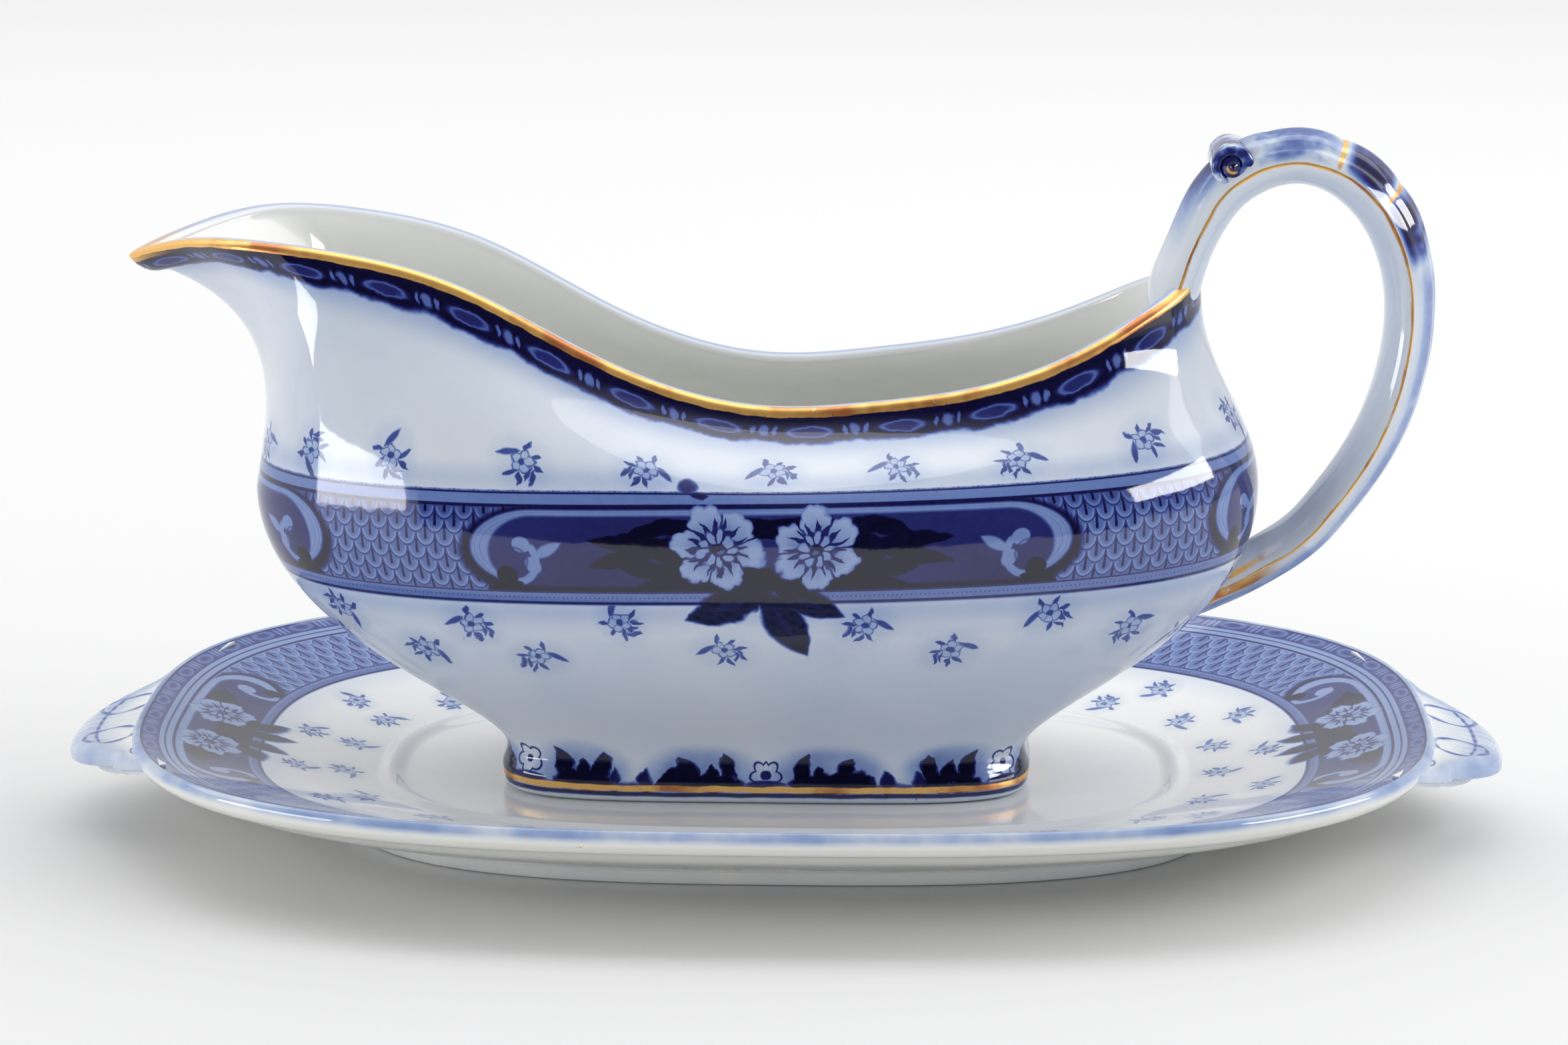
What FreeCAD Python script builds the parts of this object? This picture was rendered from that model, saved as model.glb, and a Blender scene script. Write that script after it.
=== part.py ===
import FreeCAD, Part
import math
import os

# A Victorian gravy boat in glazed earthenware, standing loose on its own oblong stand.
# Frame: +X runs from the spout to the handle, +Y away from the front, +Z up, and the origin is
# the middle of the stand where it rests on the table. Everything here is in millimetres.
Vec = FreeCAD.Vector

# ---------------------------------------------------------------- driving dimensions
# Stand: an oblong dish with a superellipse outline and a moulded shell lug at each end.
STAND_HALF_LENGTH = 104.0
STAND_HALF_WIDTH = 68.0
STAND_SQUARENESS = 2.8
STAND_RIM_HEIGHT = 19.0
STAND_LIP_DEPTH = 4.2
WELL_HALF_LENGTH = 64.0
WELL_HALF_WIDTH = 36.0
WELL_FLOOR = 7.7
WELL_RIDGE = 1.1
PLATE_UNDERSIDE = 3.5
BASE_HALF_LENGTH = 71.0
BASE_HALF_WIDTH = 39.5
BASE_RING_WIDTH = 7.0
RIM_RISE_POWER = 1.3

# Shell lugs: one broad lobe at the tip and a small scrolled lobe on each side of it.
LUG_TIP = 115.0
LUG_NICK_X = 106.0
LUG_NICK_Y = 18.5
LUG_ROOT_X = 98.5
LUG_ROOT_Y = 31.5
LUG_SIDE_X = 104.8
LUG_SIDE_Y = 26.0
LUG_THICKNESS = 4.6
LUG_DROOP_DEG = 14.0
LUG_TOP_AT_RIM = 17.4

# Boat: foot, waist and belly are superellipses about a middle that moves a little along X.
FOOT_MIDDLE_X = -2.7
FOOT_HALF_LENGTH = 42.6
FOOT_HALF_WIDTH = 21.4
FOOT_SQUARENESS = 4.5
FOOT_BULGE_Z = 11.3
FOOT_RECESS = 2.5
FOOT_WALL = 5.0
WAIST_Z = 14.5
WAIST_HALF_LENGTH = 41.9
WAIST_HALF_WIDTH = 20.2
BELLY_MIDDLE_X = -4.3
BELLY_HALF_LENGTH = 80.0
BELLY_HALF_WIDTH = 40.0
BELLY_SQUARENESS = 2.6
BELLY_Z = 56.0
WALL = 3.4
FLOOR_Z = 18.0

# The rim, seen from the handle (first) round one side to the tip of the spout (last), every
# 15 degrees of turn: how far along, how far out and how high its outer edge runs.
RIM = [
    (66.3, 0.0, 91.3), (63.8, 7.5, 88.5), (57.0, 14.5, 84.8), (46.0, 19.6, 79.4),
    (31.0, 22.2, 74.6), (13.0, 22.4, 72.0), (-6.0, 21.7, 71.6), (-27.0, 21.5, 78.2),
    (-48.0, 21.8, 89.2), (-67.0, 20.8, 94.6), (-84.0, 17.6, 96.2), (-96.6, 7.9, 94.4),
    (-104.4, 0.0, 91.6),
]
LIP_CROWN = 1.2
TIP_MITRE = 0.45

# Handle: a strap that leaves the rim, loops round and ends in a leaf under the belly.
# Each station is (x, z, width across, thickness), along the middle of the strap.
HANDLE = [
    (61.5, 86.0, 17.0, 8.0), (64.3, 95.0, 15.0, 7.6), (68.4, 102.8, 13.2, 8.4),
    (73.8, 107.2, 13.0, 8.8), (80.2, 108.7, 13.0, 8.4), (86.4, 107.4, 13.0, 8.4),
    (91.8, 103.7, 13.0, 8.6), (95.8, 98.3, 13.0, 8.5), (98.2, 91.5, 13.0, 8.1),
    (99.0, 84.5, 13.0, 7.8), (98.4, 76.7, 13.0, 7.7), (96.4, 68.6, 13.0, 7.7),
    (93.2, 61.4, 13.0, 7.6), (88.8, 54.6, 13.0, 7.4), (83.0, 47.6, 13.0, 7.3),
    (75.4, 42.4, 12.0, 7.4), (68.0, 38.0, 9.0, 6.2), (61.5, 33.6, 4.5, 3.4),
]
SCROLL_X = 69.9
SCROLL_Z = 108.6
SCROLL_RADIUS = 3.9
SCROLL_WIDTH = 12.4

RING_POINTS = 48
SECTION_POINTS = 16


# ---------------------------------------------------------------- shared geometry
def superellipse(middle_x, half_length, half_width, squareness, z, turn):
    """A point of a superellipse at one height, where turn 0 looks along +X."""
    c = math.cos(turn)
    s = math.sin(turn)
    k = (abs(c) ** squareness + abs(s) ** squareness) ** (-1.0 / squareness)
    return Vec(middle_x + half_length * c * k, half_width * s * k, z)


def turns():
    """The angles at which every closed ring is sampled."""
    return [2.0 * math.pi * i / RING_POINTS for i in range(RING_POINTS)]


def ring_wire(points):
    """A smooth closed curve through the points."""
    curve = Part.BSplineCurve()
    curve.interpolate(Points=points, PeriodicFlag=True)
    return Part.Wire([curve.toShape()])


def skin(rings):
    """The smooth open skin that runs through a list of rings."""
    return Part.makeLoft([ring_wire(ring) for ring in rings], False).Faces


def cap(ring):
    """The flat face inside a level ring."""
    return Part.Face(ring_wire(ring))


def solid_from(faces):
    """The solid that a closed set of faces holds."""
    shell = Part.makeShell(faces)
    shell.sewShape()
    solid = Part.makeSolid(Part.Shell(shell.Faces))
    if solid.Volume < 0.0:
        solid.reverse()
    return solid


def largest(shape):
    """The main solid that a cut leaves."""
    return max(shape.Solids, key=lambda solid: solid.Volume)


def level_ring(half_length, half_width, squareness, z, middle_x=0.0):
    """A superellipse ring at one height."""
    return [superellipse(middle_x, half_length, half_width, squareness, z, turn) for turn in turns()]


def bezier(a, b, c, d, u):
    """A point of the cubic curve with these four poles."""
    w = 1.0 - u
    return a * (w * w * w) + b * (3.0 * w * w * u) + c * (3.0 * w * u * u) + d * (u * u * u)


# ---------------------------------------------------------------- stand
def stand_ring(share, z, out=0.0):
    """A ring between the well's ridge (share 0) and the stand's outer edge (share 1)."""
    half_length = WELL_HALF_LENGTH + (STAND_HALF_LENGTH - WELL_HALF_LENGTH) * share + out
    half_width = WELL_HALF_WIDTH + (STAND_HALF_WIDTH - WELL_HALF_WIDTH) * share + out
    return level_ring(half_length, half_width, STAND_SQUARENESS, z)


def dish_height(share):
    """The height of the dish's upper side between the ridge and the outer edge."""
    return WELL_FLOOR + 0.4 + (STAND_RIM_HEIGHT - WELL_FLOOR - 0.4) * share ** RIM_RISE_POWER


def make_stand_plate():
    """Flat well, low moulded ridge round it, and a dished rim with a rounded lip."""
    well = [stand_ring(0.0, WELL_FLOOR, -2.2), stand_ring(0.0, WELL_FLOOR + WELL_RIDGE)]
    dish = [stand_ring(0.0, WELL_FLOOR + WELL_RIDGE), stand_ring(0.07, dish_height(0.07))]
    dish += [stand_ring(share, dish_height(share)) for share in (0.25, 0.5, 0.75, 0.96)]
    lip = [
        stand_ring(0.96, dish_height(0.96)),
        stand_ring(1.0, STAND_RIM_HEIGHT - 1.2),
        stand_ring(1.0, STAND_RIM_HEIGHT - STAND_LIP_DEPTH, -0.5),
    ]
    base = level_ring(BASE_HALF_LENGTH, BASE_HALF_WIDTH, STAND_SQUARENESS, PLATE_UNDERSIDE)
    under = [
        lip[-1],
        stand_ring(0.62, 9.6),
        stand_ring(0.32, 5.7),
        base,
    ]
    faces = [cap(well[0])] + skin(well) + skin(dish) + skin(lip) + skin(under) + [cap(base)]
    return solid_from(faces)


def make_stand_foot_ring():
    """The ring under the well on which the stand rests."""
    top = level_ring(BASE_HALF_LENGTH, BASE_HALF_WIDTH, STAND_SQUARENESS, PLATE_UNDERSIDE)
    bottom = level_ring(BASE_HALF_LENGTH - 1.5, BASE_HALF_WIDTH - 1.5, STAND_SQUARENESS, 0.0)
    block = Part.makeLoft([ring_wire(top), ring_wire(bottom)], True)
    inner_length = BASE_HALF_LENGTH - BASE_RING_WIDTH
    inner_width = BASE_HALF_WIDTH - BASE_RING_WIDTH
    hollow_top = level_ring(inner_length, inner_width, STAND_SQUARENESS, PLATE_UNDERSIDE + 1.0)
    hollow_bottom = level_ring(inner_length, inner_width, STAND_SQUARENESS, -1.0)
    hollow = Part.makeLoft([ring_wire(hollow_top), ring_wire(hollow_bottom)], True)
    return largest(block.cut(hollow))


def make_shell_lug(plate):
    """The lug at the handle's end: a three-lobed shell that droops from the plate's rim."""
    root = Vec(LUG_ROOT_X, LUG_ROOT_Y, 0.0)
    side = Vec(LUG_SIDE_X, LUG_SIDE_Y, 0.0)
    nick = Vec(LUG_NICK_X, LUG_NICK_Y, 0.0)
    tip = Vec(LUG_TIP, 0.0, 0.0)

    def across(point):
        return Vec(point.x, -point.y, point.z)

    edges = [
        Part.Arc(root, side, nick).toShape(),
        Part.Arc(nick, tip, across(nick)).toShape(),
        Part.Arc(across(nick), across(side), across(root)).toShape(),
        Part.LineSegment(across(root), root).toShape(),
    ]
    outline = Part.Face(Part.Wire(edges))
    column = outline.extrude(Vec(0.0, 0.0, 2.0 * STAND_RIM_HEIGHT))
    slab = Part.makeBox(60.0, 2.0 * LUG_ROOT_Y + 20.0, LUG_THICKNESS)
    slab.translate(Vec(-20.0, -LUG_ROOT_Y - 10.0, -LUG_THICKNESS))
    slab.rotate(Vec(0.0, 0.0, 0.0), Vec(0.0, 1.0, 0.0), LUG_DROOP_DEG)
    slab.translate(Vec(LUG_ROOT_X, 0.0, LUG_TOP_AT_RIM))
    return largest(column.common(slab).cut(plate))


# ---------------------------------------------------------------- boat
def rim_curve():
    """The outer edge of the rim as one closed curve, one unit of parameter per turn."""
    far = [Vec(x, y, z) for x, y, z in RIM]
    near = [Vec(x, -y, z) for x, y, z in RIM[-2:0:-1]]
    points = far + near
    curve = Part.BSplineCurve()
    stops = [i / float(len(points)) for i in range(len(points) + 1)]
    curve.interpolate(Points=points, Parameters=stops, PeriodicFlag=True)
    return curve


RIM_CURVE = rim_curve()


def rim_point(turn, inset):
    """A point of the rim, moved inwards at right angles to the rim, and further at the spout's point."""
    share = (turn / (2.0 * math.pi)) % 1.0
    point = RIM_CURVE.value(share)
    along = RIM_CURVE.tangent(share)[0]
    inward = Vec(-along.y, along.x, 0.0)
    mitre = 1.0 + TIP_MITRE * max(0.0, -math.cos(turn)) ** 16
    return point + inward.normalize() * (inset * mitre)


def boat_wall(turn, inset):
    """Poles of the belly's lower and upper curves at one turn, moved inwards by inset."""
    bottom = WAIST_Z
    if inset > 0.0:
        bottom = FLOOR_Z
    waist = superellipse(FOOT_MIDDLE_X, WAIST_HALF_LENGTH - inset, WAIST_HALF_WIDTH - inset,
                         FOOT_SQUARENESS, bottom, turn)
    belly = superellipse(BELLY_MIDDLE_X, BELLY_HALF_LENGTH - inset, BELLY_HALF_WIDTH - inset,
                         BELLY_SQUARENESS, BELLY_Z, turn)
    rim = rim_point(turn, inset)
    c = math.cos(turn)
    spout = max(0.0, -c) ** 4
    grip = max(0.0, c) ** 4
    side = 1.0 - spout - grip
    low = BELLY_Z - bottom
    high = rim.z - BELLY_Z
    lower = (
        waist,
        waist + Vec(1.0 * c, 0.6 * math.sin(turn), 0.18 * low),
        belly + Vec(0.0, 0.0, -0.58 * low),
        belly,
    )
    flare = 0.164 * spout + 0.45 * grip + 0.38 * side
    upper = (
        belly,
        belly + Vec(2.5 * spout + 0.5 * grip, 0.0, high * (0.38 * spout + 0.33 * grip + 0.62 * side)),
        rim + Vec(24.5 * spout - 2.0 * grip, 3.7 * side * math.sin(turn), 0.6 * inset * spout - high * flare),
        rim,
    )
    return lower, upper


def boat_ring(part, u, inset=0.0):
    """A ring round the boat at share u of its lower (0) or upper (1) part."""
    return [bezier(*boat_wall(turn, inset)[part], u) for turn in turns()]


def boat_skin(inset):
    """Waist to rim, as one skin."""
    rings = [boat_ring(0, u, inset) for u in (0.0, 0.2, 0.4, 0.6, 0.8)]
    rings += [boat_ring(1, u, inset) for u in (0.0, 0.2, 0.4, 0.6, 0.8, 1.0)]
    return skin(rings)


def lip_skin():
    """The rounded top of the rim, from its outer to its inner edge."""
    outer_rim = boat_ring(1, 1.0)
    inner_rim = boat_ring(1, 1.0, WALL)
    crown = [(a + b) * 0.5 + Vec(0.0, 0.0, LIP_CROWN) for a, b in zip(outer_rim, inner_rim)]
    return skin([outer_rim, crown, inner_rim])


def make_bowl():
    """The hollow belly, its spout and its rounded lip, closed at the waist by the floor."""
    faces = boat_skin(0.0) + lip_skin() + boat_skin(WALL)
    faces += [cap(boat_ring(0, 0.0)), cap(boat_ring(0, 0.0, WALL))]
    return solid_from(faces)


def make_bowl_envelope():
    """The bowl's outer shape filled in, which handle and scroll are trimmed by."""
    lid = level_ring(20.0, 5.0, 2.0, 80.0, BELLY_MIDDLE_X)
    faces = boat_skin(0.0) + [cap(boat_ring(0, 0.0))] + lip_skin()
    faces += skin([boat_ring(1, 1.0, WALL), lid]) + [cap(lid)]
    return solid_from(faces)


def make_pedestal_foot():
    """A rounded oblong foot with a shallow recess underneath."""
    rings = [
        level_ring(FOOT_HALF_LENGTH - 1.2, FOOT_HALF_WIDTH - 1.2, FOOT_SQUARENESS, WELL_FLOOR, FOOT_MIDDLE_X),
        level_ring(FOOT_HALF_LENGTH - 0.3, FOOT_HALF_WIDTH - 0.3, FOOT_SQUARENESS, WELL_FLOOR + 1.3, FOOT_MIDDLE_X),
        level_ring(FOOT_HALF_LENGTH, FOOT_HALF_WIDTH, FOOT_SQUARENESS, FOOT_BULGE_Z, FOOT_MIDDLE_X),
        boat_ring(0, 0.0),
    ]
    block = solid_from(skin(rings) + [cap(rings[0]), cap(rings[-1])])
    recess_length = FOOT_HALF_LENGTH - FOOT_WALL
    recess_width = FOOT_HALF_WIDTH - FOOT_WALL
    mouth = level_ring(recess_length, recess_width, FOOT_SQUARENESS, WELL_FLOOR - 1.0, FOOT_MIDDLE_X)
    roof = level_ring(recess_length - 1.0, recess_width - 1.0, FOOT_SQUARENESS,
                      WELL_FLOOR + FOOT_RECESS, FOOT_MIDDLE_X)
    return largest(block.cut(Part.makeLoft([ring_wire(mouth), ring_wire(roof)], True)))


def strap_section(station, before, after):
    """A rounded strap section at right angles to the handle's path."""
    x, z, width, thickness = station
    along = Vec(after[0] - before[0], 0.0, after[1] - before[1]).normalize()
    out = Vec(-along.z, 0.0, along.x)
    points = []
    for i in range(SECTION_POINTS):
        turn = 2.0 * math.pi * i / SECTION_POINTS
        flat = superellipse(0.0, width / 2.0, thickness / 2.0, 2.4, 0.0, turn)
        points.append(Vec(x, 0.0, z) + Vec(0.0, flat.x, 0.0) + out * flat.y)
    return ring_wire(points)


def make_handle(envelope):
    """The looped strap, trimmed where it is stuck to the bowl."""
    sections = []
    for i, station in enumerate(HANDLE):
        before = HANDLE[max(i - 1, 0)]
        after = HANDLE[min(i + 1, len(HANDLE) - 1)]
        sections.append(strap_section(station, before, after))
    return largest(Part.makeLoft(sections, True).cut(envelope))


def make_thumb_scroll(handle, envelope):
    """The rolled scroll on which the thumb rests, on top of the handle's front arm."""
    roll = Part.makeCylinder(SCROLL_RADIUS, SCROLL_WIDTH, Vec(SCROLL_X, -SCROLL_WIDTH / 2.0, SCROLL_Z),
                             Vec(0.0, 1.0, 0.0))
    roll = roll.makeFillet(1.2, [edge for edge in roll.Edges if edge.Closed and edge.Length > 20.0])
    return largest(roll.cut(handle).cut(envelope))


# ---------------------------------------------------------------- build and write
def build():
    """Every node by name."""
    plate = make_stand_plate()
    lug = make_shell_lug(plate)
    envelope = make_bowl_envelope()
    bowl = make_bowl()
    handle = make_handle(envelope)
    return {
        "stand_plate": plate,
        "stand_foot_ring": make_stand_foot_ring(),
        "shell_lug_handle_end": lug,
        "shell_lug_spout_end": lug.mirror(Vec(0.0, 0.0, 0.0), Vec(1.0, 0.0, 0.0)),
        "bowl": bowl,
        "pedestal_foot": make_pedestal_foot(),
        "handle": handle,
        "thumb_scroll": make_thumb_scroll(handle, envelope),
    }


os.makedirs("parts", exist_ok=True)
for name, shape in build().items():
    shape.exportStep(os.path.join("parts", name + ".step"))
    box = shape.BoundBox
    print("%-22s %-8s valid %s  %8.0f mm3  x %.1f..%.1f  y %.1f..%.1f  z %.1f..%.1f" % (
        name, shape.ShapeType, shape.isValid(), shape.Volume,
        box.XMin, box.XMax, box.YMin, box.YMax, box.ZMin, box.ZMax))
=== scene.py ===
import math
from functools import partialmethod

import bpy
import numpy as np
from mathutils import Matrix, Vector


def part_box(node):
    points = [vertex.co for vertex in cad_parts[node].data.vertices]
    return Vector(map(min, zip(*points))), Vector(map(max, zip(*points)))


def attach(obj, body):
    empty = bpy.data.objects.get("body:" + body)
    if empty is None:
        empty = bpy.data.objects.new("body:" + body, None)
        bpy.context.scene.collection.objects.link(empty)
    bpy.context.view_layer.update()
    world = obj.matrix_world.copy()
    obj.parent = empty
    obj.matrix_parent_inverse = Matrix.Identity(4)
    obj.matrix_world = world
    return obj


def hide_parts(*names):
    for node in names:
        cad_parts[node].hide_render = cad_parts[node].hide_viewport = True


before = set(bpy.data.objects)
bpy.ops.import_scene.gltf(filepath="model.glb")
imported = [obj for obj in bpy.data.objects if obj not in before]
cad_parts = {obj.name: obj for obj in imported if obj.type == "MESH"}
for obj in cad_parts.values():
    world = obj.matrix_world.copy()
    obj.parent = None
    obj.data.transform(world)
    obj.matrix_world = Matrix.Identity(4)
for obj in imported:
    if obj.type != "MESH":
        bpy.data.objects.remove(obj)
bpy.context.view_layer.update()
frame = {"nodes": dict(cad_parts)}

# Shapes are worked out in millimetres and in the frame's own axes: +X to the handle, +Y away from
# the front, +Z up. MM turns them into the metres that Blender and the frame use.
MM = 0.001
TURN = 2.0 * math.pi


def cad_box(node):
    """The node's lowest and highest corners in millimetres."""
    low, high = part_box(node)
    return np.array(low) / MM, np.array(high) / MM


PLATE_HIGH = cad_box("stand_plate")[1]
FOOT_LOW, FOOT_HIGH = cad_box("pedestal_foot")
RING_HIGH = cad_box("stand_foot_ring")[1]
SCROLL_LOW, SCROLL_HIGH = cad_box("thumb_scroll")

# ---------------------------------------------------------------- driving dimensions
STAND_HALF = (PLATE_HIGH[0], PLATE_HIGH[1])
STAND_SQUARENESS = 2.8
STAND_RIM_HEIGHT = PLATE_HIGH[2]
WELL_HALF = (64.0, 36.0)
WELL_FLOOR = FOOT_LOW[2]
WELL_RIDGE = 1.1
RIM_RISE_POWER = 1.3
BASE_HALF = (RING_HIGH[0], RING_HIGH[1])
BASE_TOP = RING_HIGH[2]

FOOT_MIDDLE = (FOOT_LOW[0] + FOOT_HIGH[0]) / 2.0
FOOT_HALF = ((FOOT_HIGH[0] - FOOT_LOW[0]) / 2.0, FOOT_HIGH[1])
FOOT_SQUARENESS = 4.5
WAIST_Z = FOOT_HIGH[2]
WAIST_HALF = (FOOT_HALF[0] - 0.7, FOOT_HALF[1] - 1.2)
RECESS_Z = WELL_FLOOR + 2.5
BELLY_MIDDLE = -4.3
BELLY_HALF = (80.0, 40.0)
BELLY_SQUARENESS = 2.6
BELLY_Z = 56.0
WALL = 3.4
FLOOR_Z = 18.0
LIP_CROWN = 1.2
TIP_MITRE = 0.45

# The rim's outer edge from the handle (first) to the tip of the spout (last), every 15 degrees.
RIM = [
    (66.3, 0.0, 91.3), (63.8, 7.5, 88.5), (57.0, 14.5, 84.8), (46.0, 19.6, 79.4),
    (31.0, 22.2, 74.6), (13.0, 22.4, 72.0), (-6.0, 21.7, 71.6), (-27.0, 21.5, 78.2),
    (-48.0, 21.8, 89.2), (-67.0, 20.8, 94.6), (-84.0, 17.6, 96.2), (-96.6, 7.9, 94.4),
    (-104.4, 0.0, 91.6),
]

# The strap's stations: along, up, width across, thickness.
HANDLE = [
    (61.5, 86.0, 17.0, 8.0), (64.3, 95.0, 15.0, 7.6), (68.4, 102.8, 13.2, 8.4),
    (73.8, 107.2, 13.0, 8.8), (80.2, 108.7, 13.0, 8.4), (86.4, 107.4, 13.0, 8.4),
    (91.8, 103.7, 13.0, 8.6), (95.8, 98.3, 13.0, 8.5), (98.2, 91.5, 13.0, 8.1),
    (99.0, 84.5, 13.0, 7.8), (98.4, 76.7, 13.0, 7.7), (96.4, 68.6, 13.0, 7.7),
    (93.2, 61.4, 13.0, 7.6), (88.8, 54.6, 13.0, 7.4), (83.0, 47.6, 13.0, 7.3),
    (75.4, 42.4, 12.0, 7.4), (68.0, 38.0, 9.0, 6.2), (61.5, 33.6, 4.5, 3.4),
]

# How the strap's upper end runs out into the inside of the wall.
HANDLE_ROOT = [(63.2, 73.0, 9.0, 1.0), (62.4, 79.5, 14.5, 4.6)]

COLUMNS = 432
SHARP_ABOVE = 38.0
MOTIF_REACH = 15.0


# ---------------------------------------------------------------- curves and rings
def superellipse(middle_x, half, squareness, z, turn):
    """Points of a superellipse at one height, where turn 0 looks along +X."""
    c = np.cos(turn)
    s = np.sin(turn)
    k = (np.abs(c) ** squareness + np.abs(s) ** squareness) ** (-1.0 / squareness)
    return np.stack([middle_x + half[0] * c * k, half[1] * s * k, z + 0.0 * turn], -1)


def closed_spline(points):
    """A function of share (0 to 1 round) that gives a smooth closed curve through the points."""
    points = np.array(points, float)
    count = len(points)
    system = np.zeros((count, count))
    for i in range(count):
        system[i, i] = 4.0
        system[i, (i + 1) % count] = 1.0
        system[i, (i - 1) % count] = 1.0
    poles = np.linalg.solve(system, 6.0 * points)

    def at(share):
        place = (np.asarray(share) % 1.0) * count
        first = np.floor(place).astype(int)
        u = (place - first)[..., None]
        p = [poles[(first + k - 1) % count] for k in range(4)]
        blend = (1 - u) ** 3 * p[0] + (3 * u ** 3 - 6 * u ** 2 + 4) * p[1]
        return (blend + (-3 * u ** 3 + 3 * u ** 2 + 3 * u + 1) * p[2] + u ** 3 * p[3]) / 6.0

    return at


def open_spline(points, samples):
    """Rows sampled evenly along a smooth open curve through the points (Catmull-Rom)."""
    points = np.array(points, float)
    ends = np.vstack([2 * points[0] - points[1], points, 2 * points[-1] - points[-2]])
    place = np.linspace(0.0, len(points) - 1.0, samples)
    first = np.minimum(place.astype(int), len(points) - 2)
    u = (place - first)[:, None]
    a, b, c, d = (ends[first + k] for k in range(4))
    return 0.5 * (2 * b + (c - a) * u + (2 * a - 5 * b + 4 * c - d) * u ** 2
                  + (3 * b - 3 * c + d - a) * u ** 3)


def bezier(poles, u):
    """A point of the cubic curve with these four poles."""
    w = 1.0 - u
    return poles[0] * w ** 3 + poles[1] * 3 * w * w * u + poles[2] * 3 * w * u * u + poles[3] * u ** 3


def run_lengths(rows):
    """Length along each column from the first row to each row."""
    steps = np.linalg.norm(np.diff(rows, axis=0), axis=-1)
    return np.concatenate([np.zeros((1,) + steps.shape[1:]), np.cumsum(steps, 0)])


def ring_lengths(ring):
    """Length round a closed ring from its first point, with the whole length last."""
    steps = np.linalg.norm(np.roll(ring, -1, 0) - ring, axis=-1)
    return np.concatenate([[0.0], np.cumsum(steps)])


# ---------------------------------------------------------------- meshes
def wrapped(table):
    """A (rows, columns) table with its first column repeated at the end."""
    return np.concatenate([table, table[:, :1]], axis=1)


def make_piece(name, rows, body, maps=None, start=None, end=None, motifs=None):
    """A closed ring-by-ring mesh. maps: {layer: (u, v)} with one column more than the rows have.
    motifs: {layer: list of motif frames}, for coordinates about the nearest motif."""
    count, columns = rows.shape[:2]
    points = rows.reshape(-1, 3)
    r, c = np.meshgrid(np.arange(count - 1), np.arange(columns), indexing="ij")
    after = (c + 1) % columns
    quads = np.stack([r * columns + c, r * columns + after,
                      (r + 1) * columns + after, (r + 1) * columns + c], -1).reshape(-1, 4)
    corner_row = np.stack([r, r, r + 1, r + 1], -1).reshape(-1)
    corner_col = np.stack([c, c + 1, c + 1, c], -1).reshape(-1)
    loops = [quads.reshape(-1)]
    starts = [np.arange(len(quads)) * 4]
    for centre, row in ((start, 0), (end, count - 1)):
        if centre is None:
            continue
        points = np.vstack([points, centre])
        tip = len(points) - 1
        ring = np.arange(columns)
        order = [row * columns + (ring + 1) % columns, row * columns + ring]
        cols = [ring + 1, ring]
        if row:
            order.reverse()
            cols.reverse()
        fan = np.stack(order + [np.full(columns, tip)], -1).reshape(-1)
        starts.append(starts[-1][-1] + (4 if len(starts) == 1 else 3) + np.arange(columns) * 3)
        loops.append(fan)
        corner_row = np.concatenate([corner_row, np.full(columns * 3, row)])
        corner_col = np.concatenate([corner_col, np.stack(cols + [ring], -1).reshape(-1)])
    loops = np.concatenate(loops)
    starts = np.concatenate(starts)

    mesh = bpy.data.meshes.new(name)
    mesh.vertices.add(len(points))
    mesh.vertices.foreach_set("co", (points * MM).astype(np.float32).reshape(-1))
    mesh.loops.add(len(loops))
    mesh.loops.foreach_set("vertex_index", loops.astype(np.int32))
    mesh.polygons.add(len(starts))
    mesh.polygons.foreach_set("loop_start", starts.astype(np.int32))
    mesh.update(calc_edges=True)
    for layer, (u, v) in (maps or {}).items():
        uv = mesh.uv_layers.new(name=layer)
        pair = np.stack([u[corner_row, corner_col], v[corner_row, corner_col]], -1)
        uv.data.foreach_set("uv", pair.astype(np.float32).reshape(-1))
    for layer, frames in (motifs or {}).items():
        uv = mesh.uv_layers.new(name=layer)
        pair = motif_coordinates(points, loops, starts, frames)
        uv.data.foreach_set("uv", pair.astype(np.float32).reshape(-1))
    mesh.validate()
    corners = points[quads]
    signed = sum(np.einsum("ij,ij->i", corners[:, 0], np.cross(corners[:, k], corners[:, k + 1])).sum()
                 for k in (1, 2))
    if signed < 0.0:
        mesh.flip_normals()
    mesh.shade_smooth()
    mesh.set_sharp_from_angle(angle=math.radians(SHARP_ABOVE))
    piece = bpy.data.objects.new(name, mesh)
    bpy.context.scene.collection.objects.link(piece)
    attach(piece, body)
    return piece


# Motif coordinates of a face with no motif near it, and the x of the half that is left out.
FAR_AWAY = 60.0
OTHER_HALF = 1e6


def motif_coordinates(points, loops, starts, frames):
    """Millimetres right and up of the nearest motif's middle, the same motif for a whole face."""
    sizes = np.diff(np.append(starts, len(loops)))
    face = np.repeat(np.arange(len(starts)), sizes)
    place = points[loops]
    middle = np.zeros((len(starts), 3))
    np.add.at(middle, face, place)
    middle /= sizes[:, None]
    centres = np.array([frame[0] for frame in frames])
    nearest = np.full(len(starts), -1)
    best = np.full(len(starts), MOTIF_REACH ** 2)
    for i, centre in enumerate(centres):
        away = ((middle - centre) ** 2).sum(1)
        closer = away < best
        best[closer] = away[closer]
        nearest[closer] = i
    pair = np.full((len(loops), 2), FAR_AWAY)
    chosen = nearest[face]
    known = chosen >= 0
    right = np.array([frame[1] for frame in frames])
    up = np.array([frame[2] for frame in frames])
    offset = place[known] - centres[chosen[known]]
    pair[known, 0] = (offset * right[chosen[known]]).sum(1)
    pair[known, 1] = (offset * up[chosen[known]]).sum(1)
    return pair


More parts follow.
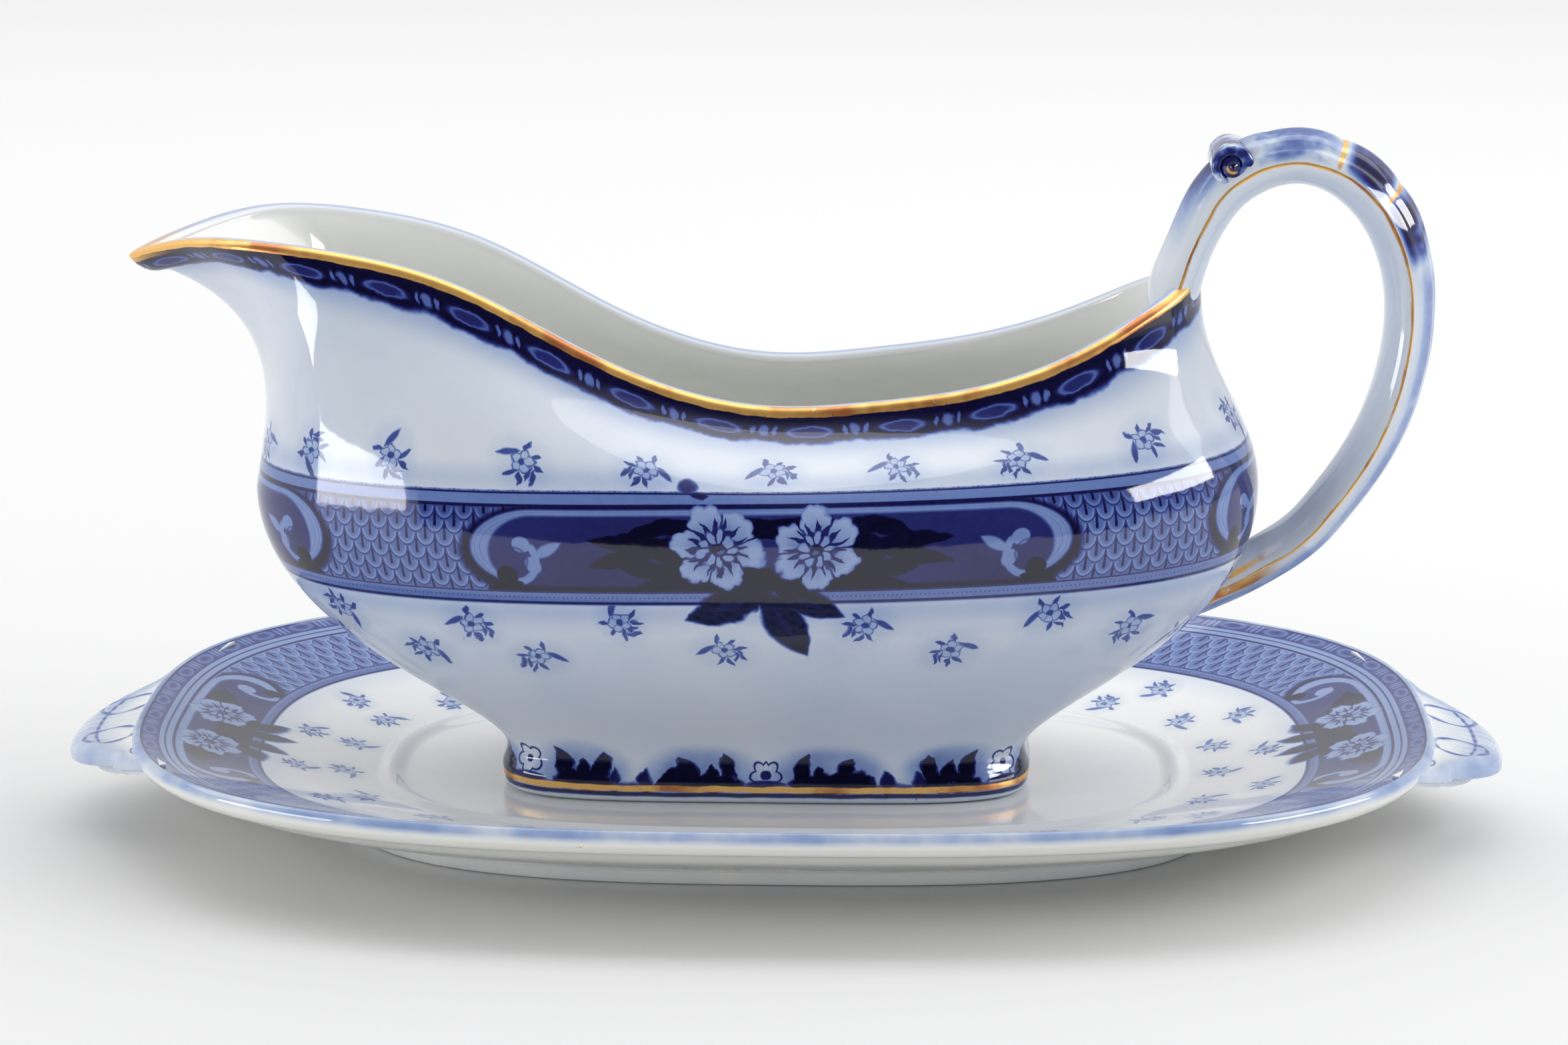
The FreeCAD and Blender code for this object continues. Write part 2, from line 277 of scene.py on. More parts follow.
def motif_frame(rows, x_table, y_table, x, y, angle=0.0, size=1.0, mirror=False):
    """Middle, right and up of a motif that sits at (x, y) of a piece's own flat coordinates."""
    away = (x_table - x) ** 2 + (y_table - y) ** 2
    i, j = np.unravel_index(np.argmin(away), away.shape)
    i = min(max(i, 1), rows.shape[0] - 2)
    before = (j - 1) % rows.shape[1]
    after = (j + 1) % rows.shape[1]
    along = (rows[i, after] - rows[i, before]) * np.sign(x_table[i, after] - x_table[i, before])
    along /= np.linalg.norm(along)
    rise = (rows[i + 1, j] - rows[i - 1, j]) * np.sign(y_table[i + 1, j] - y_table[i - 1, j])
    rise -= along * (rise @ along)
    rise /= np.linalg.norm(rise)
    c = math.cos(angle)
    s = math.sin(angle)
    e1 = (along * c + rise * s) / size
    e2 = (rise * c - along * s) / size
    if mirror:
        e1 = -e1
    return rows[i, j], e1, e2


# ---------------------------------------------------------------- the boat's wall
RIM_CURVE = closed_spline(RIM + [(x, -y, z) for x, y, z in RIM[-2:0:-1]])
TURNS = np.linspace(0.0, TURN, COLUMNS, endpoint=False)


def rim_ring(inset):
    """The rim's outer edge, moved inwards at right angles, and further at the spout's point."""
    share = TURNS / TURN
    ring = RIM_CURVE(share)
    along = RIM_CURVE(share + 0.001) - RIM_CURVE(share - 0.001)
    inward = np.stack([-along[:, 1], along[:, 0], 0.0 * share], -1)
    inward /= np.linalg.norm(inward, axis=-1, keepdims=True)
    mitre = 1.0 + TIP_MITRE * np.maximum(0.0, -np.cos(TURNS)) ** 16
    return ring + inward * (inset * mitre)[:, None]


def boat_wall(inset, low_rows, high_rows):
    """Rows from the waist (or the floor) over the belly to the rim."""
    bottom = FLOOR_Z if inset > 0.0 else WAIST_Z
    c = np.cos(TURNS)
    s = np.sin(TURNS)
    waist = superellipse(FOOT_MIDDLE, (WAIST_HALF[0] - inset, WAIST_HALF[1] - inset),
                         FOOT_SQUARENESS, bottom, TURNS)
    belly = superellipse(BELLY_MIDDLE, (BELLY_HALF[0] - inset, BELLY_HALF[1] - inset),
                         BELLY_SQUARENESS, BELLY_Z, TURNS)
    rim = rim_ring(inset)
    spout = np.maximum(0.0, -c) ** 4
    grip = np.maximum(0.0, c) ** 4
    side = 1.0 - spout - grip
    low = BELLY_Z - bottom
    high = rim[:, 2] - BELLY_Z
    zero = 0.0 * c
    lower = (waist, waist + np.stack([c, 0.6 * s, zero + 0.18 * low], -1),
             belly - np.array([0.0, 0.0, 0.58 * low]), belly)
    flare = 0.164 * spout + 0.45 * grip + 0.38 * side
    push = np.stack([2.5 * spout + 0.5 * grip, zero, high * (0.38 * spout + 0.33 * grip + 0.62 * side)], -1)
    pull = np.stack([24.5 * spout - 2.0 * grip, 3.7 * side * s, 0.6 * inset * spout - high * flare], -1)
    upper = (belly, belly + push, rim + pull, rim)
    rows = [bezier(lower, u) for u in np.linspace(0.0, 1.0, low_rows)]
    rows += [bezier(upper, u) for u in np.linspace(0.0, 1.0, high_rows)[1:]]
    return np.array(rows)


def front_measure(ring):
    """Length along a ring from the middle of the front, the same for front and back."""
    length = ring_lengths(ring)
    whole = length[-1]
    measure = length[:-1] - 0.75 * whole
    back = TURNS < math.pi
    measure[back] = 0.25 * whole - length[:-1][back]
    return measure


TIP_BLUNT = 1.3
TIP_BLUNT_DEPTH = 6.0
LOW_ROWS = 46
BELT_MIDDLE = 3.5
BELT_LOW = -10.7
BELT_SLOPE = 0.022
BELT_HEIGHT = 18.2


def make_bowl():
    """Outside wall, crowned lip, inside wall and floor, with the maps for the whole print."""
    outer = boat_wall(0.0, LOW_ROWS, 62)
    inner = boat_wall(WALL, 34, 34)[::-1]
    # A little more clay under the point of the spout, so that its edge is blunt.
    tip = np.maximum(0.0, -np.cos(TURNS)) ** 30
    back = run_lengths(outer)[-1] - run_lengths(outer)
    outer[..., 2] -= TIP_BLUNT * tip * np.sin(np.clip(back / TIP_BLUNT_DEPTH, 0.0, 1.0) * math.pi) ** 0.7
    middle = (outer[-1] + inner[0]) / 2.0
    up_crown = np.array([0.0, 0.0, LIP_CROWN])
    lip = [middle + (outer[-1] - middle) * math.cos(a) + up_crown * math.sin(a)
           for a in np.linspace(0.0, math.pi, 15)[1:-1]]
    waist_middle = np.array([FOOT_MIDDLE, 0.0, WAIST_Z])
    floor_middle = np.array([FOOT_MIDDLE, 0.0, FLOOR_Z])
    floor = [inner[-1] * share + floor_middle * (1.0 - share) for share in (0.97, 0.9, 0.75, 0.5, 0.25)]
    under = [outer[0] * share + waist_middle * (1.0 - share) for share in (0.3, 0.7, 0.95)]
    rows = np.concatenate([under, outer, lip, inner, floor])

    first_row = len(under)
    belly_row = first_row + LOW_ROWS - 1
    rim_row = first_row + len(outer) - 1
    up = run_lengths(rows)
    belt_x = front_measure(rows[belly_row]) - BELT_MIDDLE + 0.0 * up
    belt_y = up - up[belly_row] - (BELT_LOW + BELT_SLOPE * (rows[belly_row][:, 0] - BELLY_MIDDLE))
    rim_x = front_measure(rows[rim_row]) + 0.0 * up
    rim_y = up[rim_row] - up
    foot_x = front_measure(rows[first_row]) + 0.0 * up
    foot_y = rows[..., 2].copy()

    wall_rows = rows[first_row:rim_row + 1]
    wall_x = belt_x[first_row:rim_row + 1]
    wall_y = belt_y[first_row:rim_row + 1]
    sprigs = []
    flowers = []
    for back_half in (False, True):
        x_table = np.where((TURNS < math.pi) == back_half, wall_x, OTHER_HALF)
        for x, y, tilt, mirror in BOAT_SPRIGS:
            sprigs.append(motif_frame(wall_rows, x_table, wall_y, x, y, math.radians(tilt), 1.0, mirror))
        for x, y, tilt, size, mirror in BOAT_FLOWERS:
            flowers.append(motif_frame(wall_rows, x_table, wall_y, x, y, math.radians(tilt), size, mirror))
    maps = {
        "belt": (wrapped(belt_x), wrapped(belt_y)),
        "rim": (wrapped(rim_x), wrapped(rim_y)),
        "foot": (wrapped(foot_x), wrapped(foot_y)),
    }
    piece = make_piece("gravy_boat_bowl", rows, "boat", maps, waist_middle, floor_middle,
                       {"sprig": sprigs, "flower": flowers})
    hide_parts("bowl")
    return piece


# Sprigs: along the belt, up from its lower line, tilt in degrees, mirrored.
BOAT_SPRIGS = [
    (-90.0, 21.5, 20.0, False), (-75.0, 22.7, 80.0, True), (-60.2, 23.1, 95.0, False),
    (-38.0, 22.6, -28.0, True), (-18.6, 22.3, 2.0, False), (1.0, 23.2, 6.0, True),
    (21.4, 23.2, -8.0, True), (41.7, 23.1, 10.0, False), (64.2, 23.6, 30.0, True),
    (88.7, 22.8, -60.0, False),
    (-74.4, -4.4, -50.0, False), (-50.0, -4.1, -12.0, True), (-24.8, -3.5, 120.0, False),
    (15.6, -4.3, 8.0, False), (45.3, -4.1, 12.0, True), (60.6, -7.5, 35.0, False),
    (-61.9, -10.6, -25.0, False), (-41.3, -11.1, 10.0, False), (-8.5, -8.2, -5.0, True),
    (30.6, -10.0, 20.0, False), (84.0, -4.5, 60.0, False), (-96.0, -5.0, 40.0, True),
    (-84.0, -12.0, -20.0, False), (76.0, -12.5, 15.0, True),
]
# Peonies: along the belt, up from its lower line, tilt, size, mirrored.
BOAT_FLOWERS = [
    (-8.1, 8.9, 0.0, 1.0, False), (6.9, 8.7, 24.0, 0.97, True),
    (-104.0, 9.0, 10.0, 0.95, False), (97.0, 9.0, -15.0, 0.95, False),
]


def make_foot():
    """Rounded oblong foot: bulge, sharp lower edge, and a shallow recess underneath."""
    def ring(out, z):
        return superellipse(FOOT_MIDDLE, (FOOT_HALF[0] + out, FOOT_HALF[1] + out), FOOT_SQUARENESS, z, TURNS)

    waist = boat_wall(0.0, 2, 2)[0]
    profile = open_spline([(-1.5, WELL_FLOOR + 0.02), (-0.55, WELL_FLOOR + 0.55), (-0.25, WELL_FLOOR + 1.4),
                           (0.0, 11.0), (-0.4, 12.6)], 34)
    outer = [ring(out, z) for out, z in profile]
    top_ring = outer[-1]
    for u in (0.2, 0.4, 0.6, 0.8, 1.0):
        share = np.array([math.sin(u * math.pi / 2.0)] * 2 + [u])
        outer.append(top_ring * (1.0 - share) + waist * share)
    recess = open_spline([(-5.6, RECESS_Z), (-5.2, WELL_FLOOR + 2.2), (-4.9, WELL_FLOOR + 0.6),
                          (-4.3, WELL_FLOOR + 0.05), (-2.2, WELL_FLOOR)], 16)
    under = [ring(out, z) for out, z in recess]
    roof_middle = np.array([FOOT_MIDDLE, 0.0, RECESS_Z])
    waist_middle = np.array([FOOT_MIDDLE, 0.0, WAIST_Z])
    roof = [under[0] * share + roof_middle * (1.0 - share) for share in (0.3, 0.8)]
    top = [waist * share + waist_middle * (1.0 - share) for share in (0.9, 0.5)]
    rows = np.concatenate([roof, under, outer, top])
    foot_x = front_measure(waist) + np.zeros(rows.shape[:2])
    maps = {"foot": (wrapped(foot_x), wrapped(rows[..., 2]))}
    piece = make_piece("gravy_boat_foot", rows, "boat", maps, roof_middle, waist_middle)
    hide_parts("pedestal_foot")
    return piece


# ---------------------------------------------------------------- handle and thumb scroll
SECTION = 72
STRAP_ROWS = 520


def make_handle():
    """A strap with a ridged outer side, gilt arrises and a rounded inner side."""
    stations = open_spline(HANDLE_ROOT + HANDLE, STRAP_ROWS)
    number = np.linspace(-len(HANDLE_ROOT), len(HANDLE) - 1.0, STRAP_ROWS)
    path = np.stack([stations[:, 0], 0.0 * stations[:, 0], stations[:, 1]], -1)
    along = np.gradient(path, axis=0)
    along /= np.linalg.norm(along, axis=-1, keepdims=True)
    out = np.stack([-along[:, 2], 0.0 * along[:, 0], along[:, 0]], -1)
    q = np.linspace(0.0, TURN, SECTION, endpoint=False)
    across = np.cos(q)
    flat = np.abs(across)
    outer_side = np.sin(q) > 0.0
    dome = (1.0 - flat ** 2.3) ** 0.80
    belly = (1.0 - flat ** 2.4) ** 0.62
    rib = 0.22 * (np.exp(-(across / 0.13) ** 2) - 0.5 * np.exp(-((flat - 0.3) / 0.1) ** 2))
    groove = -0.3 * np.exp(-((flat - 0.74) / 0.09) ** 2)
    rows = []
    for i in range(STRAP_ROWS):
        half_width = stations[i, 2] / 2.0
        half_thick = stations[i, 3] / 2.0
        n = number[i]
        crest = math.exp(-((n - 5.2) / 2.0) ** 2)
        bumps = 0.6 * crest * (abs(math.sin((n - 0.6) * math.pi / 1.45)) ** 0.6 - 0.55)
        lift = bumps * (1.0 - flat ** 3) + (rib + groove) * min(1.0, max(0.0, n / 3.0))
        lift = lift * min(1.0, half_thick / 3.0)
        height = np.where(outer_side, half_thick * dome + lift, -half_thick * belly)
        rows.append(path[i] + np.outer(across * half_width, (0.0, 1.0, 0.0)) + np.outer(height, out[i]))
    rows = np.array(rows)
    turn_table = np.linspace(0.0, 360.0, SECTION + 1) + np.zeros((STRAP_ROWS, 1))
    number_table = number[:, None] + np.zeros((1, SECTION + 1))
    piece = make_piece("gravy_boat_handle", rows, "boat", {"strap": (number_table, turn_table)},
                       path[0], path[-1])
    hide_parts("handle")
    return piece


SCROLL_X = 70.3
SCROLL_Z = 108.0
SCROLL_WIDTH = 12.4
SCROLL_RADIUS_MOST = 3.9
# The spiral groove's radius at turn 0 and how much it grows in one turn, as shares of the scroll's.
SPIRAL_START = 0.36
SPIRAL_GROWTH = 0.34


def make_scroll():
    """A rolled scroll with a spiral groove and a raised eye on each end."""
    radius = min((SCROLL_HIGH[2] - SCROLL_LOW[2]) / 2.0, SCROLL_RADIUS_MOST)
    centre = np.array([SCROLL_X, 0.0, SCROLL_Z])
    half = SCROLL_WIDTH / 2.0
    turn = np.linspace(0.0, TURN, 96, endpoint=False)
    rows = []
    radii = []
    for side in (-1.0, 1.0):
        face = []
        for r in np.linspace(0.05, 0.86, 26):
            spiral = SPIRAL_START + SPIRAL_GROWTH * (turn / TURN)
            gap = np.exp(-((r - spiral) / 0.075) ** 2)
            eye = 0.5 * math.exp(-(r / 0.2) ** 2)
            y = half - 0.25 * (r / 0.86) ** 4 - 0.65 * gap + eye - 0.25 * math.exp(-((r - 0.3) / 0.1) ** 2)
            face.append((r * radius + 0.0 * turn, side * y, r))
        for k in range(1, 7):
            angle = math.pi / 2.0 * k / 6.0
            r = 0.86 + 0.14 * math.sin(angle)
            y = half - 0.25 - 0.9 * (1.0 - math.cos(angle))
            face.append((r * radius + 0.0 * turn, side * y + 0.0 * turn, r))
        if side > 0.0:
            face.reverse()
        for r_mm, y, r in face:
            rows.append(np.stack([centre[0] + r_mm * np.cos(turn), y + 0.0 * turn,
                                  centre[2] + r_mm * np.sin(turn)], -1))
            radii.append(r)
    rows = np.array(rows)
    turn_table = np.linspace(0.0, 360.0, len(turn) + 1) + np.zeros((len(rows), 1))
    radius_table = np.array(radii)[:, None] + np.zeros((1, len(turn) + 1))
    piece = make_piece("gravy_boat_thumb_scroll", rows, "boat",
                       {"scroll": (radius_table, turn_table)},
                       centre + np.array([0.0, -half, 0.0]), centre + np.array([0.0, half, 0.0]))
    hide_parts("thumb_scroll")
    return piece


# ---------------------------------------------------------------- stand
def stand_ring(share, z, out=0.0):
    """A ring between the well's ridge (share 0) and the stand's outer edge (share 1)."""
    half = (WELL_HALF[0] + (STAND_HALF[0] - WELL_HALF[0]) * share + out,
            WELL_HALF[1] + (STAND_HALF[1] - WELL_HALF[1]) * share + out)
    return superellipse(0.0, half, STAND_SQUARENESS, z, TURNS)


def dish_height(share):
    """Height of the dished rim's surface."""
    return WELL_FLOOR + 0.4 + (STAND_RIM_HEIGHT - WELL_FLOOR - 0.4) * share ** RIM_RISE_POWER


# Rows of sprigs: share from the ridge to the edge, pitch, millimetres to the first one.
STAND_SPRIG_ROWS = ((0.36, 27.0, 3.0), (0.17, 24.0, 15.0))
# Peonies at each end: share, millimetres from the end's middle, tilt, size.
STAND_FLOWERS = [(0.70, 9.5, 20.0, 0.82), (0.70, -9.5, -25.0, 0.82)]
SPOUT_END_SHIFT = 5.0
STAND_SPRIG_SIZE = 0.85
DISH_WIDTH = 36.0
SPRIG_TILTS = (10.0, -40.0, 75.0, 160.0, -95.0, 30.0, -15.0)


def make_stand():
    """Well, moulded ridge, dished rim, rounded lip and underside, down to the base ring."""
    top_rows = [(-12.0, WELL_FLOOR), (-4.0, WELL_FLOOR), (-2.6, WELL_FLOOR + 0.05), (-1.8, WELL_FLOOR + 0.35),
                (-0.9, WELL_FLOOR + 0.85), (0.0, WELL_FLOOR + WELL_RIDGE), (0.9, WELL_FLOOR + 0.9)]
    ridge = open_spline(top_rows, 36)
    rows = [stand_ring(0.0, z, out) for out, z in ridge]
    shares = np.linspace(0.045, 0.955, 92)
    rows += [stand_ring(share, dish_height(share)) for share in shares]
    top = STAND_RIM_HEIGHT
    lip = open_spline([(-1.5, dish_height(0.96)), (-0.75, top - 0.30), (-0.15, top - 0.85),
                       (0.0, top - 1.7), (-0.2, top - 2.6), (-0.8, top - 3.4)], 26)
    rows += [stand_ring(1.0, z, out) for out, z in lip]
    under = open_spline([(0.955, top - 4.1), (0.90, 13.6), (0.78, 11.2), (0.62, 8.9), (0.32, 4.9),
                         (0.225, 3.8)], 34)
    rows += [stand_ring(share, z) for share, z in under]
    rows += [superellipse(0.0, (BASE_HALF[0] * k, BASE_HALF[1] * k), STAND_SQUARENESS, BASE_TOP, TURNS)
             for k in (1.0, 0.9, 0.6, 0.3)]
    rows = np.array(rows)
    dish_count = len(ridge) + len(shares)
    edge_row = dish_count + 12
    share_of = np.zeros(len(rows))
    share_of[:len(ridge)] = ridge[:, 0] / DISH_WIDTH
    share_of[len(ridge):dish_count] = shares
    length = ring_lengths(rows[edge_row])
    whole = length[-1]
    down = run_lengths(rows)
    flat = DISH_WIDTH * (1.0 - share_of)[:, None] + 0.0 * down
    dish = np.arange(len(rows))[:, None] < dish_count
    edge_y = down[edge_row] - down
    rest = edge_y - edge_y[dish_count - 1] + flat[dish_count - 1][0]
    edge_y = np.where(dish, flat, rest)
    maps = {"edge": (length[None, :] + np.zeros((len(rows), 1)), wrapped(edge_y))}

    dish_rows = rows[:dish_count]
    x_table = length[None, :-1] + np.zeros((len(dish_rows), 1))
    y_table = edge_y[:len(dish_rows)]
    sprigs = []
    for share, pitch, offset in STAND_SPRIG_ROWS:
        count = int(round(whole / pitch))
        for k in range(count):
            x = (offset + whole * k / count) % whole
            tilt = SPRIG_TILTS[k % len(SPRIG_TILTS)]
            sprigs.append(motif_frame(dish_rows, x_table, y_table, x, DISH_WIDTH * (1.0 - share),
                                      math.radians(tilt), STAND_SPRIG_SIZE, k % 2 == 1))
    flowers = []
    for middle in (0.0, whole / 2.0 + SPOUT_END_SHIFT):
        for share, x, tilt, size in STAND_FLOWERS:
            flowers.append(motif_frame(dish_rows, x_table, y_table, (middle + x) % whole,
                                       DISH_WIDTH * (1.0 - share), math.radians(tilt), size, x < 0.0))
    piece = make_piece("stand_dish", rows, "stand", maps,
                       np.array([0.0, 0.0, WELL_FLOOR]), np.array([0.0, 0.0, BASE_TOP]),
                       {"sprig": sprigs, "flower": flowers})
    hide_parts("stand_plate")
    return piece, whole


def make_base_ring():
    """The ring on which the stand rests, with rounded edges."""
    profile = [(0.0, BASE_TOP), (-0.5, 1.8), (-1.1, 0.6), (-1.9, 0.0), (-4.2, 0.0), (-5.6, 0.25),
               (-6.4, 1.0), (-7.0, BASE_TOP)]
    rows = np.array([superellipse(0.0, (BASE_HALF[0] + out, BASE_HALF[1] + out), STAND_SQUARENESS, z, TURNS)
                     for out, z in open_spline(profile, 40)])
    rows[..., 2] = np.maximum(rows[..., 2], 0.0)
    rows = np.concatenate([rows, rows[:1]])
    piece = make_piece("stand_base_ring", rows, "stand")
    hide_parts("stand_foot_ring")
    return piece


# The lug: its tip, half its root, its height at the plate's edge and how it slopes down from there.
LUG_TIP = 116.2
LUG_ROOT_HALF = 35.5
LUG_TOP = 17.4
LUG_START = 98.5
LUG_FALL = math.tan(math.radians(14.0))
LUG_THICKNESS = 4.4


def lug_outline(y):
    """How far along the lug's edge runs at each distance across."""
    y = np.abs(y)
    lobe = LUG_TIP - 9.2 * (y / 20.0) ** 2.5
    shoulder = 107.0 - 0.30 * np.maximum(y - 20.0, 0.0)
    blend = 1.0 / (1.0 + np.exp((y - 20.5) / 1.3))
    return lobe * blend + shoulder * (1.0 - blend)


def make_lug(node, name, sign):
    """A moulded shell lug: a broad lobe with a raised scroll line and fine fluting."""
    ys = np.linspace(-LUG_ROOT_HALF, LUG_ROOT_HALF, 180)
    across = np.abs(ys)
    bend = (1.0 - (across / STAND_HALF[1]) ** STAND_SQUARENESS) ** (1.0 / STAND_SQUARENESS)
    plate_edge = STAND_HALF[0] * bend
    fade = np.clip((LUG_ROOT_HALF - across) / 13.0, 0.0, 1.0)
    fade = fade * fade * (3.0 - 2.0 * fade)
    edge = plate_edge + np.maximum(lug_outline(ys) - plate_edge, 0.0) * fade - 0.5 * (1.0 - fade)
    inside = plate_edge - 3.0
    slim = 0.40 + 0.60 * np.clip((33.0 - across) / 14.0, 0.0, 1.0)
    top = []
    bottom = []
    shares = np.linspace(0.0, 1.0, 30)
    for p in shares:
        x = inside + (edge - inside) * p
        z = LUG_TOP - (x - LUG_START) * LUG_FALL
        flute = 0.08 * np.sin(ys * 2.3) * math.sin(math.pi * p) * (across < 16.0)
        scroll = 0.35 * math.exp(-((p - 0.80) / 0.09) ** 2)
        round_off = 1.1 * (1.0 - math.sqrt(1.0 - max(0.0, (p - 0.86) / 0.14) ** 2))
        top.append(np.stack([x, ys, z + flute + (scroll - round_off - 0.3) * slim], -1))
        thin = 1.8 * math.sqrt(1.0 - ((1.0 - p) / 0.25) ** 2) if p > 0.75 else 0.0
        bottom.append(np.stack([x, ys, z - (LUG_THICKNESS - thin) * slim], -1))
    # Columns run round the lug's section and rows across the lug, so that the ends close.
    rows = np.transpose(np.array(top + bottom[::-1]), (1, 0, 2)).copy()
    rows[..., 0] *= sign
    p_table = np.append(shares, 2.0 - shares[::-1])[None, :] + np.zeros((len(ys), 1))
    y_table = ys[:, None] + np.zeros((1, 2 * len(shares)))
    piece = make_piece(name, rows, "stand", {"lug": (wrapped(y_table), wrapped(p_table))},
                       rows[0].mean(0), rows[-1].mean(0))
    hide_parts(node)
    return piece


# ---------------------------------------------------------------- material helpers
class Field:
    """A number that varies over a surface: one output among a material's nodes."""

    def __init__(self, tree, socket):
        self.tree = tree
        self.socket = socket

    def math(self, operation, *others):
        node = self.tree.nodes.new("ShaderNodeMath")
        node.operation = operation
        for slot, value in enumerate((self,) + others):
            if isinstance(value, Field):
                self.tree.links.new(value.socket, node.inputs[slot])
            else:
                node.inputs[slot].default_value = value
        return Field(self.tree, node.outputs[0])

    __add__ = partialmethod(math, "ADD")
    __radd__ = __add__
    __sub__ = partialmethod(math, "SUBTRACT")
    __mul__ = partialmethod(math, "MULTIPLY")
    __rmul__ = __mul__
    __truediv__ = partialmethod(math, "DIVIDE")
    __abs__ = partialmethod(math, "ABSOLUTE")
    most = partialmethod(math, "MAXIMUM")
    least = partialmethod(math, "MINIMUM")

    def linear(self, factor, offset):
        """factor * self + offset."""
        return self.math("MULTIPLY_ADD", factor, offset)

    def inverse(self):
        """1 - self, for a mask."""
        return self.math("MULTIPLY_ADD", -1.0, 1.0)

    def rise(self, low, high):
        """0 below low, 1 above high and a smooth step between. high may lie below low."""
        node = self.tree.nodes.new("ShaderNodeMapRange")
        node.interpolation_type = "SMOOTHSTEP"
        self.tree.links.new(self.socket, node.inputs["Value"])
        ends = (low, high, 0.0, 1.0) if low < high else (high, low, 1.0, 0.0)
        for name, value in zip(("From Min", "From Max", "To Min", "To Max"), ends):
            node.inputs[name].default_value = value
        return Field(self.tree, node.outputs[0])

    def line(self, middle, half, soft=0.14):
        """1 on a line of this half width, with soft edges."""
        return abs(self - middle).rise(half + soft, max(half - soft, 0.0))

    def between(self, low, high, soft=0.15):
        return self.line((low + high) / 2.0, (high - low) / 2.0, soft)

    def over(self, below, mask):
        """self where mask is 1, below where it is 0; both may be numbers."""
        return mask.math("MULTIPLY", self - below) + below


def laid(value, below, mask):
    """A plain number laid over a field where the mask is 1."""
    return (below * -1.0 + value) * mask + below


def uv_pair(tree, layer):
    """The two numbers of a UV layer."""
    node = tree.nodes.new("ShaderNodeUVMap")
    node.uv_map = layer
    parts = tree.nodes.new("ShaderNodeSeparateXYZ")
    tree.links.new(node.outputs[0], parts.inputs[0])
    return Field(tree, parts.outputs[0]), Field(tree, parts.outputs[1])


def position(tree):
    """Object coordinates, in metres."""
    return tree.nodes.new("ShaderNodeTexCoord").outputs["Object"]


def noise(tree, scale, detail=2.0, roughness=0.5):
    """Noise about 0.5; scale is per metre."""
    node = tree.nodes.new("ShaderNodeTexNoise")
    node.inputs["Scale"].default_value = scale
    node.inputs["Detail"].default_value = detail
    node.inputs["Roughness"].default_value = roughness
    tree.links.new(position(tree), node.inputs["Vector"])
    return Field(tree, node.outputs["Fac"])


def wander(tree, scale, reach, detail=2.0):
    """Noise between about -reach and +reach, to make printed edges uneven."""
    return noise(tree, scale, detail).linear(2.0 * reach, -reach)


def turned(x, y, cx, cy, rx, ry, angle):
    """Coordinates about a turned figure's middle, as shares of its half sizes."""
    c = math.cos(math.radians(angle))
    s = math.sin(math.radians(angle))
    a = x.math("MULTIPLY_ADD", c / rx, y.linear(s / rx, -(cx * c + cy * s) / rx))
    b = x.math("MULTIPLY_ADD", -s / ry, y.linear(c / ry, (cx * s - cy * c) / ry))
    return a, b


def oval(x, y, cx, cy, rx, ry, angle=0.0):
    """Squared distance from an oval's middle: 1 on its edge."""
    a, b = turned(x, y, cx, cy, rx, ry, angle)
    return a.math("MULTIPLY_ADD", a, b * b)


def blade(x, y, cx, cy, rx, ry, angle=0.0):
    """A leaf with two points: 1 on its edge, 0 along its middle."""
    a, b = turned(x, y, cx, cy, rx, ry, angle)
    return a.math("MULTIPLY_ADD", a, abs(b))


def spot(shape, soft=0.25):
    """A mask from an oval or a blade: 1 inside, with an edge about this soft."""
    return shape.rise(1.0 + soft, 1.0 - soft)


def any_of(masks):
    """The strongest of several masks."""
    result = masks[0]
    for mask in masks[1:]:
        result = result.most(mask)
    return result


def blades(x, y, table, soft=0.25):
    """Leaves as one mask. A row holds the middle, half the length, half the width, degrees."""
    return any_of([spot(blade(x, y, *row), soft) for row in table])


def ovals(x, y, table, soft=0.25):
    """Ovals as one mask, from rows like those of blades; the degrees may be left out."""
    return any_of([spot(oval(x, y, *row), soft) for row in table])


def printed_lines(ink, y, table):
    """Lines over the ink. A row holds where, half the width, softness, density."""
    for middle, half, soft, density in table:
        ink = ink.most(y.line(middle, half, soft) * density)
    return ink


def ripples(angle, factor, phase):
    """0 to 1 and back, again and again, round an angle."""
    return abs(angle.linear(factor, phase).math("COSINE"))


def polar(x, y):
    radius = x.math("MULTIPLY_ADD", x, y * y).math("SQRT")
    return radius, y.math("ARCTAN2", x)


